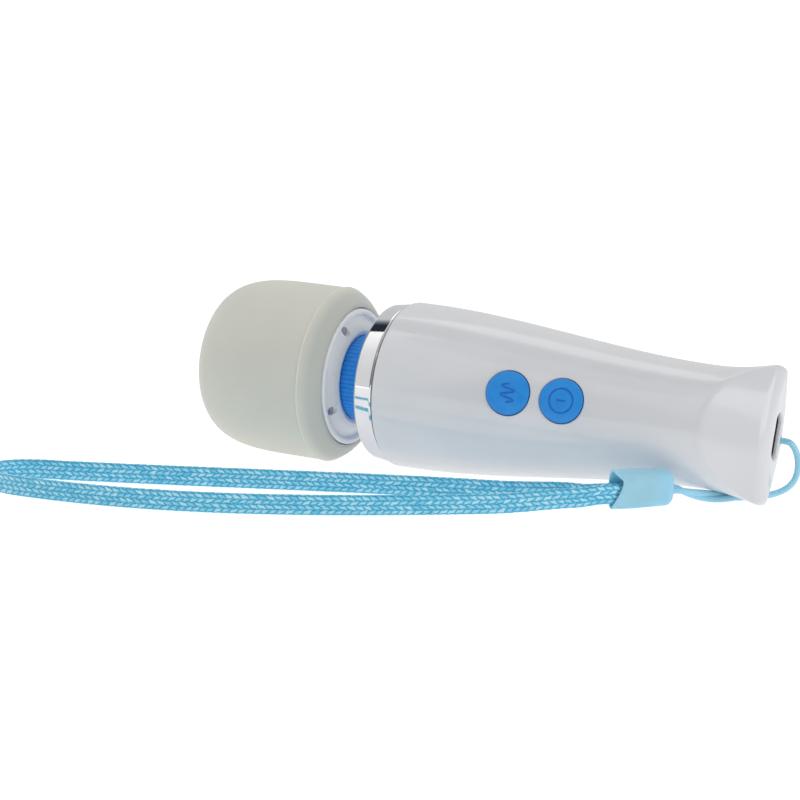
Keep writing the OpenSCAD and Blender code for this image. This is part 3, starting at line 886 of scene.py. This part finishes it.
def screw_posts(shape):
    """Posts inside the front shell that the board is screwed to. They end within the shell's wall."""
    turns = circle(32)
    bore, post, foot, bevel, overlap = 0.75, 2.2, -8.15, 0.15, 0.5
    section = (bore, foot), (post - bevel, foot), (post, foot + bevel), (post, None), (bore, None)
    for u in (-19, 18):
        for v in (-5.5, 5.5):
            rings = []
            for r, w in section:
                ring_u, ring_v = u + r * np.cos(turns), v + r * np.sin(turns)
                height = skin_height(ring_u, ring_v, WALL) + overlap if w is None else w
                rings.append(from_button(ring_u, ring_v, height))
            shape.skin(shape.put(rings), round_cols=True, round_rows=True)


def shell_tabs(shape):
    """Tabs on the front shell that reach inside the rear shell."""
    length, root_y, side_y, tip_y, bevel = 5, -6, 2.2, 2.5, 0.4
    thick, gap = 1.2, 0.5
    for x in (34, 56, 78):
        base = [
            (x, root_y), (x + length, root_y), (x + length, side_y), (x + length - bevel, tip_y),
            (x + bevel, tip_y), (x, side_y)]
        for s in (-1, 1):
            z = s * (float(handle_r(x + length)) - WALL - gap)
            shape.prism([(a, b, z) for a, b in base], (0, 0, -thick * s))


def battery_ribs(shape):
    """Crescent ribs in the rear shell that cradle the battery."""
    cell_r, cell_y, rib_y, thick, overlap = 7.1, 2.8, 3.0, 1.6, 0.3
    for x in (42, 60, 78):
        r = float(handle_r(x + thick)) - WALL + overlap
        start = math.asin(rib_y / r)
        outer = [(r * math.sin(a), r * math.cos(a)) for a in np.linspace(start, math.pi - start, 40)]
        inner = [(cell_y + cell_r * math.sin(a), cell_r * math.cos(a)) for a in np.linspace(math.pi, 0, 40)]
        outline = [(x, y, z) for y, z in outer + [p for p in inner if p[0] > rib_y]]
        shape.prism(outline, (thick, 0, 0))


def make_ring():
    """Chrome trim ring: a tapered band with soft edges, which carry the bright lines."""
    outline = rounded([
        (RING_FRONT, 15.65, 0.1), (RING_FRONT, 16.75, 0.3), (RING_FRONT + 0.5, 17.0, 0.4),
        (RING_BACK - 0.3, 17.5, 0.35), (RING_BACK, 17.3, 0.12), (RING_BACK, 15.65, 0.1)], steps=6)
    make_piece("trim_ring", turned(outline, 240), "handle", "chrome_ring", sharp=70)


def stadium(half_w, half_t, x):
    """A loop with straight sides and round ends."""
    c = half_w - half_t
    top = [(x, half_t * math.cos(t), c + half_t * math.sin(t)) for t in np.linspace(0, math.pi, 10)]
    return np.array(top + [(x, -y, -z) for x, y, z in top])


def make_port():
    """Charging socket: a drawn steel shell, a black tongue and its contacts."""
    half_w, half_t, skin, lip = 4.47, 1.63, 0.3, 0.1
    back, floor_x = (4.0, 1.2), PORT_FRONT + 1.1
    outer = ((lip, PORT_BACK), (0, PORT_BACK - lip), (0, PORT_FRONT))
    inner = ((skin, floor_x), (skin, PORT_BACK - lip), (0.2, PORT_BACK))
    metal_shell = Shape()
    rings = [stadium(half_w - inset, half_t - inset, x) for inset, x in outer]
    outside = metal_shell.put(rings + [stadium(*back, PORT_FRONT)])
    lining = metal_shell.put([stadium(half_w - inset, half_t - inset, x) for inset, x in inner])
    metal_shell.skin(outside, round_cols=True)
    metal_shell.skin(lining, round_cols=True)
    metal_shell.skin(np.array([lining[-1], outside[0]]), round_cols=True)
    metal_shell.fan(outside[-1], [PORT_FRONT, 0, 0])
    metal_shell.fan(lining[0], [floor_x, 0, 0])
    make_piece("port_shell", metal_shell, "handle", "usb_c_port", "port_steel")

    tongue = Shape()
    blade, tip, tip_x, bevel = (3.35, 0.35), (3.2, 0.22), 104.6, 0.3
    tongue.tube([stadium(*blade, PORT_FRONT + 0.9), stadium(*blade, tip_x - bevel), stadium(*tip, tip_x)])
    make_piece("port_tongue", tongue, "handle", look="black_plastic")
    contacts = Shape()
    start, end, face, half, thick, pitch, row_half = 100.5, 104.1, 0.33, 0.13, 0.05, 0.5, 2.75
    base = [(start, -half), (end, -half), (end, half), (start, half)]
    for s in (-1, 1):
        for z in np.arange(-row_half, row_half + pitch / 2, pitch):
            contacts.prism([(x, s * face, z + away) for x, away in base], (0, s * thick, 0))
    make_piece("port_contacts", contacts, "handle", look="bronze")


def wave_symbol(u, v):
    """Distance to a wavy line of two periods, which stands for the vibration mode."""
    half_len, swing, half_line = 1.9, 1.45, 0.22
    s = np.linspace(-half_len, half_len, 240)
    line = np.column_stack([swing * np.sin(s / (2 * half_len) * 4 * math.pi), s])
    points = np.column_stack([u.ravel(), v.ravel()])
    gaps = [np.hypot(*(points - p).T) for p in line]
    return np.min(gaps, axis=0).reshape(u.shape) - half_line


def power_symbol(u, v):
    """Distance to a ring with a short bar in it."""
    ring_r, ring_half_line, bar_half_len, bar_half_line = 2.5, 0.21, 0.85, 0.2
    ring = np.abs(np.hypot(u, v) - ring_r) - ring_half_line
    bar = np.hypot(np.maximum(np.abs(u) - bar_half_len, 0), v) - bar_half_line
    return np.minimum(ring, bar)


def make_button(name, centre_u, symbol):
    """A round cap that follows the handle's curve, slightly domed, with an engraved symbol."""
    proud, dome, edge, cut, soft = 0.38, 0.1, 0.3, 0.15, 0.06
    foot = ((BUTTON_R, -2.0), (BUTTON_R, -3.5), (5.7, -3.5), (5.7, -4.2), (1.2, -4.2), (1.2, -5.6))
    angle = circle(176)
    rows, groove, edges = [], [], []

    def engraved(u, v):
        """1 in the symbol's groove, 0 outside it."""
        return smooth((soft - symbol(u, v)) / (2 * soft))

    def add_row(r, w, edge_shade, deep=0.0, follow=1):
        """A ring of points, w above the handle's skin, or above the buttons' plane if follow is 0."""
        u, v = r * np.cos(angle), r * np.sin(angle)
        rows.append(from_button(centre_u + u, v, follow * skin_height(centre_u + u, v) + w))
        groove.append(np.zeros(len(angle)) + deep)
        edges.append(np.full(len(angle), edge_shade))

    for r in np.linspace(0.08, BUTTON_R - edge, 62):
        deep = engraved(r * np.cos(angle), r * np.sin(angle))
        add_row(r, proud + dome * (1 - (r / BUTTON_R) ** 2) - cut * deep, 0, deep)
    steps = (0.25, 0.5, 0.75, 1)
    for step, (inward, down) in zip(steps, quarter(steps)):
        add_row(BUTTON_R - edge * inward, proud - edge * down, step)
    for r, w in foot:
        add_row(r, w, 1, follow=0)
    shape = Shape()
    index = shape.put(rows)
    shape.skin(index, round_cols=True)
    deep = float(engraved(np.zeros(1), np.zeros(1))[0])
    top = float(skin_height(np.array(centre_u), np.array(0.0))) + proud + dome - cut * deep
    shape.fan(index[0], from_button(centre_u, 0, top))
    shape.fan(index[-1], from_button(centre_u, 0, foot[-1][1]))
    # groove and edge tell the material where to darken the cap: painted shade round its rim, and in the symbol
    # partly painted shade and partly a darker colour.
    traits = {"groove": np.r_[np.ravel(groove), deep, 0], "edge": np.r_[np.ravel(edges), 0, 1]}
    make_piece(name + "_cap", shape, name, name, traits=traits, sharp=50)


# ---- neck and head


def arc(radius, degrees):
    """Outline points on a ball at the neck's middle, with no fillet."""
    angles = [math.radians(d) for d in degrees]
    return [(NECK_X + radius * math.cos(a), radius * math.sin(a), 0) for a in angles]


def make_neck():
    """Ribbed sleeve with ball ends. Its ribs run along the wand and fade out on the balls."""
    ribs, per_rib, rib_depth = 60, 8, 0.11
    rib_half_len, fade_len, bore_r, bore_half = 5.4, 1.2, 4.4, 8.6
    front, back = arc(BALL_R, range(152, 109, -4)), arc(BALL_R, range(70, 27, -4))
    middle = [(x, NECK_R, 0) for x in np.linspace(NECK_X - BALL_HALF, NECK_X + BALL_HALF, 9)]
    bore = [(NECK_X + bore_half, bore_r, 0), (NECK_X - bore_half, bore_r, 0)]
    outline = np.array(front + middle + back + bore)[:, :2]
    turns = ribs * per_rib
    crest = np.abs(np.cos(circle(turns) * ribs / 2)) ** 0.7
    fade = smooth((rib_half_len - np.abs(outline[:, :1] - NECK_X)) / fade_len) * (outline[:, 1:] > 5)
    shape = turned(outline, turns, rib_depth * fade * (1 - crest))
    # This value is 1 on the ribs' crests, 0 between them and 0.5 on the balls; the material paints shade between
    # the ribs from it.
    rib_shade = (crest * fade + 0.5 * (1 - fade)).ravel()
    make_piece("neck_bellows", shape, "neck", "neck_sleeve", traits={"rib_shade": rib_shade}, sharp=60)


def make_cushion():
    """The cushion: a blunt superellipse front, a straight band, a moulding line and a rounded shoulder."""
    turn = np.linspace(0, math.pi / 2, 900)
    power_x, power_r = 3.2, 5
    dome_x = -BAND_HALF + (BAND_HALF + TIP_X) * np.cos(turn) ** (2 / power_x)
    dome = even(np.column_stack([dome_x, BAND_R * np.sin(turn) ** (2 / power_r)]), 90)
    band = np.linspace((-BAND_HALF, BAND_R), (SEAM_X - 0.3, BAND_R), 14)[1:]
    sunk, bead_h, bead_w = 0.04, 0.19, 0.4
    bead = [
        (SEAM_X + bead_w * (t - 0.5), BAND_R - sunk + bead_h * math.sin(math.pi * t))
        for t in np.linspace(0, 1, 9)]
    start, length, power = BAND_HALF + 0.4, 10.2, 1.5
    share = np.linspace(0.35 / length, (CUSHION_BACK - start) / length, 400)
    shoulder_r = BAND_R * (1 - share**power) ** (1 / power) - 0.05
    shoulder = even(np.column_stack([start + length * share, shoulder_r]), 24)[:-1]
    lip = rounded([
        (*shoulder[-1], 0), (CUSHION_BACK, LIP_R + 0.28, 0.3), (CUSHION_BACK - 0.1, LIP_R, 0.15),
        (CORE_BACK, LIP_R, 0), (CORE_BACK, CORE_R, 0), (CORE_FRONT + 1.65, CORE_R, 0),
        (CORE_FRONT, CORE_R - 2.5, 0), (CORE_FRONT, 0, 0)], closed=False)[1:]
    outline = joined([(TIP_X, 0)], dome[1:], band, bead, shoulder, lip)
    turns = 200
    x, r = outline[1:-1].T
    on_bead = (np.abs(x - SEAM_X) < 0.16) & (r > CORE_R + 1)
    # This mask marks where the material paints shade on the shoulder behind the seam.
    behind = smooth((x - SEAM_X) / 2.5) * (r > LIP_R)
    traits = {"seam": on_bead, "shoulder": behind}
    traits = {name: np.r_[np.repeat(values, turns), 0, 0] for name, values in traits.items()}
    make_piece("cushion", turned(outline, turns), "head", "head_cushion", traits=traits, sharp=60)


def make_flange():
    """White plate behind the cushion: rounded lip, shallow dish, four screw holes and the neck's socket."""
    mouth_x, lip_x = 10.0, 8.85
    dish = [(8.0 + 1.9 * smooth((13.9 - r) / 3.5) ** 0.9, r, 0) for r in np.linspace(13.45, 10.75, 12)]
    rim = [
        (FLANGE_FRONT, 7.4, 0), (FLANGE_FRONT, FLANGE_R, 0.2), (lip_x, FLANGE_R, 0.62), (lip_x, 13.9, 0.6),
        (8.02, 13.7, 0.25)]
    mouth = [(mouth_x, 10.45, 0.12), (mouth_x - 0.05, 10.2, 0.12)]
    outline = rounded(rim + dish + mouth + arc(SOCKET_R, range(112, 133, 4)), steps=6)
    piece = make_piece("flange", turned(outline, 240), "head", "head_flange", sharp=50)
    stations = np.array([
        (5.0, 0.75), (7.9, 0.75), (7.91, 1.02), (8.6, 1.02), (8.7, 1.02), (9.0, 1.1), (12, 1.1)])
    holes = []
    for degrees in (45, 135, 225, 315):
        a = math.radians(degrees)
        centre = np.array([0, -math.sin(a) * SCREW_RING_R, math.cos(a) * SCREW_RING_R])
        hole = Shape()
        hole.tube(swept(centre + stations[:, :1] * [1, 0, 0], stations[:, 1], 40))
        holes.append(make_piece("hole", hole, look="satin_white"))
    combine(piece, holes, "DIFFERENCE")
    shade(piece, 35)


# ---- strap

UP = np.array([0, 0, 1.0])
TAG_X = np.array([math.cos(TAG_AZIMUTH), math.sin(TAG_AZIMUTH), 0.0])
TAG_SIDE = np.array([math.sin(TAG_AZIMUTH), -math.cos(TAG_AZIMUTH), 0.0])
TAG_UP = math.cos(TAG_LEAN) * UP + math.sin(TAG_LEAN) * TAG_SIDE
TAG_OUT = math.cos(TAG_LEAN) * TAG_SIDE - math.sin(TAG_LEAN) * UP
TAG_BASE = np.array([*MOUTH, FLOOR_Z + TAG_CLEAR])


def tag_section(s):
    """Middle, half height and half thickness of the tag at s, and how boxy it is there.
    Its mouth is lens-shaped and its other end closes with rounded corners."""
    run = (s - TAG_START) / (TAG_LEN - TAG_START)
    low, high = TAG_LIFT * smooth(run), TAG_H - TAG_TAPER * run
    end = np.clip((s - (TAG_LEN - TAG_ROUND)) / TAG_ROUND, 0, 1)
    drop = TAG_ROUND * (1 - math.sqrt(1 - end**2))
    thick = TAG_T / 2 * (1 - 0.72 * (1 - math.sqrt(1 - end**2.6))) + 0.25 * (1 - smooth(run * 2.5))
    boxy = 2.1 + 1.5 * smooth(run * 2.2)
    return (low + high) / 2, (high - low) / 2 - drop, thick, boxy


def tag_ring(s, inset=0.0, push=0.0):
    """One loop round the tag, `inset` inside its skin and pushed along it. Near the mouth the front
    wall is notched."""
    middle, half, thick, boxy = tag_section(s)
    a = circle(112)
    t = np.sign(np.cos(a)) * np.abs(np.cos(a)) ** (2 / boxy) * max(thick - inset, 0.05)
    h = np.sign(np.sin(a)) * np.abs(np.sin(a)) ** (2 / boxy) * max(half - inset, 0.05)
    up = h / half
    peak, notch_depth, notch_len = 0.46, 2.0, 7.5
    share = np.where(up > peak, (1 - up) / (1 - peak), (1 + up) / (1 + peak))
    notch = notch_depth * smooth(share * 0.95) * smooth(t / thick * 1.6 + 0.35)
    near_mouth = 1 - smooth((s - TAG_START) / notch_len)
    return placed(TAG_BASE, (TAG_X, TAG_UP, TAG_OUT), s + push + notch * near_mouth, middle + h, t)


def make_tag():
    """Hollow vinyl tag: thin walls at its mouth, closed round the cord at its other end."""
    wall, lip = 0.5, 0.22
    start, bend = TAG_START + lip, TAG_LEN - TAG_ROUND
    outside = [tag_ring(s) for s in np.linspace(start, bend, 30)]
    outside += [tag_ring(bend + TAG_ROUND * math.sin(a)) for a in np.linspace(0.08, 1.5, 18)]
    mouth = [tag_ring(start, lip * (1 - math.cos(a)), -lip * math.sin(a)) for a in (0.5, 1.05, 1.57)]
    mouth += [tag_ring(start, wall - lip * 0.4, -lip), tag_ring(start, wall, -lip * 0.6)]
    inside = [tag_ring(s, wall) for s in np.linspace(start + 0.3, TAG_LEN - 4.5, 16)]
    inside += [tag_ring(TAG_LEN - 4.3, 1.2), tag_ring(TAG_LEN - 4.2, 1.8)]
    shape = Shape()
    shape.tube(outside[::-1] + mouth + inside)
    make_piece("tag_sleeve", shape, "strap", "strap_tag", place=np.asarray, sharp=60)


# The loop's far end: where its near and far strands are joined by a bend.
NEAR_END, FAR_END = (-38.0, -62.8), (-40, -45.5)


def ribbon_line(side):
    """Middle line of one strand of the loop, seen from above, from inside the tag to the far end.
    side is 1 for the near strand, which leaves first, and -1 for the far one."""
    inner = MOUTH + 6.5 * TAG_X[:2] + side * 0.58 * TAG_SIDE[:2]
    at_mouth = MOUTH + 0.8 * TAG_X[:2] + side * 0.6 * TAG_SIDE[:2]
    if side > 0:
        run = bezier([MOUTH + [-0.3, -0.8], (36, -48.5), (5, -66.5), NEAR_END], 400)
    else:
        run = bezier([MOUTH + [-0.6, 0.7], (50, -18), (0, -36.5), FAR_END], 400)
    run = run[np.linalg.norm(run - MOUTH, axis=1) > 9.0]
    heading = (run[1] - run[0]) / np.linalg.norm(run[1] - run[0])
    link = bezier([at_mouth, at_mouth - 4.2 * TAG_X[:2], run[0] - 3.6 * heading, run[0]], 60)
    return joined([inner], link, run)


def oval_outline(half_w, half_h, n):
    """n even points round a flat oval, from the middle of its right side, and their outward normals."""
    straight = half_h - half_w
    a = np.linspace(0, math.pi, 60)
    top = np.column_stack([half_w * np.cos(a), straight + half_w * np.sin(a)])
    points = even(np.vstack([[(half_w, 0)], top, -top, [(half_w, 0)]]), n + 1)[:-1]
    normal = points - np.column_stack([np.zeros(n), np.clip(points[:, 1], -straight, straight)])
    return points, normal / np.linalg.norm(normal, axis=1)[:, None]


def chance(*keys):
    """A steady pseudo-random number from 0 to 1 for each set of whole-number keys."""
    mixed = sum(np.asarray(k, float) * w for k, w in zip(keys, (12.9898, 78.233, 37.719)))
    value = np.sin(mixed) * 43758.5453
    return value - np.floor(value)


def braid(along, around):
    """Height, and how light to paint it, about 0 to 1, of a flat braid: rows of slanted floats that lean one way
    and then the other. The second value sets painted shade between the floats and a painted highlight on their
    crests, with a random tone for each float. around runs from 0 to 1 round the braid. No two floats are quite
    alike."""
    pitch, rows = 1.62, 10
    turns = around * rows + 0.13 * np.cos(2 * math.pi * along / pitch) * np.cos(math.pi * around * rows)
    row = np.floor(turns)
    across = turns - row - 0.5
    row = row % rows
    lean = np.where(row % 2 == 0, 1.0, -1.0)
    drift = 0.12 * np.sin(along / 5.3 + row * 1.9) + 0.08 * np.sin(along / 2.1 + row * 4.1)
    phase = along / pitch + 0.5 * (row % 2) + 0.5 * lean * across + drift
    number = np.floor(phase)
    width = np.sqrt(np.maximum(1 - (np.abs(across) * 2) ** 3.2, 0))
    length = 1 - (np.abs(phase - number - 0.5) * 2) ** 3.2
    height = width**0.8 * (0.42 + 0.58 * length) * (0.86 + 0.14 * chance(number, row))
    # The second value paints shade between the floats and a highlight on their crests, with a random tone for each
    # float.
    return height, height * (0.84 + 0.2 * chance(number, row, 1.0))


def make_ribbon():
    """The wrist loop: a flat braid standing on its edge, which enters the tag's mouth."""
    end = bezier([NEAR_END, (-54, -61), (-56, -47.5), FAR_END], 200)
    path = joined(ribbon_line(1), end, ribbon_line(-1)[::-1])
    total = distances(path)[-1]
    path = even(path, int(total / (0.17)))
    along = np.linspace(0, total, len(path))[:, None]
    ahead = tangents(path)
    sides, edge_gap = 84, 0.01
    around = np.arange(sides)[None] / sides
    section, normal = oval_outline(RIBBON_T / 2 - 0.12, RIBBON_H / 2 - 0.08, sides)
    crest, shade_and_highlight = braid(along, around)
    offset = section[None] + normal[None] * (RIBBON_RELIEF * (crest[..., None] - 0.62))

    def near(reach, start=0.0):
        """1 at the tag's mouth, falling to 0 by `reach` beyond `start` from it."""
        return 1 - smooth((from_mouth - start) / reach)

    from_mouth = np.linalg.norm(path - MOUTH, axis=1)[:, None]
    lean = 0.035 * np.sin(along / 31.0 + 0.6) * (1 - near(30))
    side = offset[..., 0] + lean * (offset[..., 1] + RIBBON_H / 2)
    height = FLOOR_Z + RIBBON_H / 2 + 2 * edge_gap + offset[..., 1] + near(22, 2) + 0.5 * near(5, 1)
    with_tag = math.tan(TAG_LEAN) * (height - FLOOR_Z - TAG_CLEAR) * near(12, 2)
    rings = np.stack([
        path[:, :1] - ahead[:, 1:] * side + TAG_SIDE[0] * with_tag,
        path[:, 1:] + ahead[:, :1] * side + TAG_SIDE[1] * with_tag,
        np.maximum(height, FLOOR_Z + edge_gap),
    ], -1)
    shape = Shape()
    shape.tube(rings)
    girth, stretch = 9.4 * MM, (0.35, 3)
    # The crest trait carries painted shade between the stitches and a painted highlight on their crests.
    traits = {
        "crest": np.r_[shade_and_highlight.ravel(), 0, 0],
        "streak_u": np.r_[np.repeat(along * MM * stretch[0], sides), 0, 0],
        "streak_v": np.r_[np.tile(around[0] * girth * stretch[1], len(path)), 0, 0],
    }
    piece = make_piece("braided_loop", shape, None, "strap_webbing", None, 180, traits, np.asarray)
    start, end = (Vector((*(MOUTH + s * TAG_X[:2]), FLOOR_Z + 2)) * MM for s in (1.0, -3.5))
    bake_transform(piece)


def cord_path():
    """Middle line of the cord: from the tag, twisted on itself under the tail, through the eye and back."""
    low = FLOOR_Z + 0.7
    under = np.array([96.5, 0.8, FLOOR_Z + 0.76])
    tag_end = TAG_BASE + (TAG_LEN + 0.1) * TAG_X + [0.9, 0.1, 3.55]
    run = bezier([tag_end, tag_end + [3, 2, -1.2], under - [3.5, 3.5, 0], under], 60)
    trunk = even(joined([tag_end - 3.0 * TAG_X], run), 90)
    heading = tangents(trunk)
    level = np.cross(heading, UP)
    level /= np.linalg.norm(level, axis=1)[:, None]
    turn = np.linspace(2.2, 2 * math.pi, len(trunk))[:, None]
    twist = CORD_TWIST * (np.cos(turn) * level + 0.85 * np.sin(turn) * np.cross(level, heading))
    there, back = trunk + twist, trunk - twist

    face, flat = np.array([106.9, 3.4, -7.1]), np.array([101.4, 8.45, -8.2])
    hook = np.array([108.9, 4.3, -10.6])
    first = bezier([there[-1], (105.4, 4.3, low), (109.8, 4.3, -17.0), hook], 60)
    into = bezier([hook, (108.7, 4.2, -9.0), (107.9, 3.6, -7.2), face], 20)
    middle = lay_down(eye_path(TAIL_X + 0.3, 8.4))
    second = bezier([flat, (101.2, 12.5, -15), (99, 8.5, low), back[-1]], 60)
    path = joined(there[:-1], first, into, middle, second, back[::-1][1:])
    for _ in range(6):
        path[1:-1] = (path[:-2] + 2 * path[1:-1] + path[2:]) / 4
    return path


def make_cord():
    """The thin cord with its finely braided cover."""
    path = cord_path()
    total = distances(path)[-1]
    path = even(path, int(total / 0.12))
    sides, pitch, relief = 32, 0.8, 0.012
    along = np.linspace(0, total, len(path))[:, None] / pitch
    slant = 5 * np.arange(sides)[None] / sides
    weave = 0.5 + 0.25 * sum(np.cos(2 * math.pi * (along + lean * slant)) for lean in (1, -1))
    spokes = swept(path, 1.0, sides) - path[:, None]
    shape = Shape()
    shape.tube(path[:, None] + spokes * (CORD_R - relief * (1 - weave))[..., None])
    # The crest trait paints shade in the weave's hollows and a highlight on its crests.
    traits = {"crest": np.r_[weave.ravel(), 0, 0]}
    piece = make_piece("eye_cord", shape, None, "lanyard_cord", None, 180, traits, np.asarray)
    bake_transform(piece)


make_shells()
make_ring()
make_port()
make_button("mode_button", 0.0, wave_symbol)
make_button("power_button", BUTTON_PITCH, power_symbol)
make_neck()
make_cushion()
make_flange()
make_tag()
make_ribbon()
make_cord()


# ---- studio

FLOOR_GLOW, FLOOR_SEEN, WORLD_GLOW = 0.58, 0.8, 0.66
TOP_POWER, LEFT_POWER, RIGHT_POWER = 1.5, 3.55, 1.45
DIM_SIDE, DIM_COLOUR = (-0.2, -0.95, 0.1), (0.16, 0.18, 0.22, 1.0)
DARK_CARD = (0.26, 1.0)


def aim(thing, place, direction, axis):
    """Puts a thing at a place, with its own axis along a direction."""
    thing.location = place
    thing.rotation_mode = "QUATERNION"
    thing.rotation_quaternion = Vector(direction).to_track_quat(axis, "Y")


def plane(name, centre, size, facing, material):
    """A flat card in metres, stood so that it faces a point."""
    mesh = bpy.data.meshes.new(name)
    w, h = size[0] / 2, size[1] / 2
    mesh.from_pydata([(-w, -h, 0), (w, -h, 0), (w, h, 0), (-w, h, 0)], [], [(0, 1, 2, 3)])
    mesh.materials.append(material)
    card = added(name, mesh)
    aim(card, centre, Vector(facing) - Vector(centre), "Z")
    return card


def make_floor():
    """A white sweep: it glows, most of all towards the camera, so that shadows on it stay faint."""
    look = Look("floor", Roughness=0.9, Specular_IOR_Level=0.0, Emission_Color=(1, 1, 1, 1))
    look.colour(look.mottled(40, 3, (188, 188, 189), (190, 190, 191)))
    seen = look.node("ShaderNodeLightPath").outputs["Is Camera Ray"]
    look.feed("Emission Strength", look.mapped(seen, 0, 1, FLOOR_GLOW, FLOOR_SEEN))
    plane("floor", (0.0, 0.0, (FLOOR_Z - 0.02) * MM), (30, 30), (0, 0, 10), look.material)


def make_world():
    """Soft light from all round, dimmest in front where the camera stands."""
    world = bpy.data.worlds.new("studio")
    bpy.context.scene.world = world
    world.use_nodes = True
    nodes, links = world.node_tree.nodes, world.node_tree.links
    place = nodes.new("ShaderNodeTexCoord")
    facing = nodes.new("ShaderNodeVectorMath")
    facing.operation = "DOT_PRODUCT"
    links.new(place.outputs["Generated"], facing.inputs[0])
    facing.inputs[1].default_value = Vector(DIM_SIDE).normalized()
    shift = nodes.new("ShaderNodeMapRange")
    shift.interpolation_type = "SMOOTHSTEP"
    links.new(facing.outputs["Value"], shift.inputs[0])
    for k, value in enumerate((-0.1, 0.95, 0.0, 1.0)):
        shift.inputs[k + 1].default_value = value
    ramp = nodes.new("ShaderNodeValToRGB")
    links.new(shift.outputs[0], ramp.inputs[0])
    ramp.color_ramp.elements[0].color = (1.0, 1.0, 1.0, 1.0)
    ramp.color_ramp.elements[1].color = DIM_COLOUR
    links.new(ramp.outputs[0], nodes["Background"].inputs[0])
    nodes["Background"].inputs[1].default_value = WORLD_GLOW


def area_light(name, position, size, power, colour=(1, 1, 1)):
    """A soft box aimed at the middle of the object. Position and size are in metres, power in watts."""
    data = bpy.data.lights.new(name, "AREA")
    data.shape = "RECTANGLE"
    data.size, data.size_y = size
    data.energy = power
    data.color = colour
    aim(added(name, data), position, Vector((0.03, 0, 0)) - Vector(position), "-Z")


def make_dark_card():
    """A dark card overhead, fading to light at its far edge, that only shows in reflections."""
    look = Look("card", Roughness=1, Specular_IOR_Level=0, Emission_Strength=1, Base_Color=(0, 0, 0, 1))
    across = look.node("ShaderNodeSeparateXYZ", {0: look.place}).outputs["X"]
    uneven = look.maths("ADD", across, look.mapped(look.noise(80, 3), 0.3, 0.7, -0.006, 0.006))
    fade = look.mapped(uneven, 0.0, DARK_CARD[0] / 2, 0.0, 1.0)
    stops = [(0.0, (38, 44, 54)), (0.35, (96, 102, 112)), (1.0, (206, 208, 212))]
    look.feed("Emission Color", look.ramp(fade, stops))
    card = plane("dark_card", (-0.3, 0.11, 0.6), DARK_CARD, (-0.02, 0, 0), look.material)
    card.visible_camera = False
    card.visible_diffuse = False
    card.visible_shadow = False
    card.visible_transmission = False


def make_lights():
    area_light("top_box", (-0.15, 0.25, 0.9), (1.0, 0.5), TOP_POWER)
    area_light("left_box", (-0.62, -0.48, 0.42), (1.25, 1.35), LEFT_POWER, (1.0, 0.975, 0.93))
    area_light("right_box", (0.8, -0.25, 0.3), (0.5, 0.5), RIGHT_POWER)
    make_dark_card()


def make_camera():
    """At the photograph's viewing angle, on a long lens."""
    target, distance = Vector((19.59, 0.0, -4.87)) * MM, 533.26 * MM
    azimuth, elevation = math.radians(27.0), math.radians(9.93)
    level = math.cos(elevation)
    back = Vector((math.sin(azimuth) * level, -math.cos(azimuth) * level, math.sin(elevation)))
    data = bpy.data.cameras.new("camera")
    data.sensor_width = 36.0
    data.lens = 109.35
    camera = added("camera", data)
    aim(camera, target + back * distance, -back, "-Z")
    bpy.context.scene.camera = camera


make_floor()
make_world()
make_lights()
make_camera()
bpy.context.scene.view_settings.view_transform = "Standard"
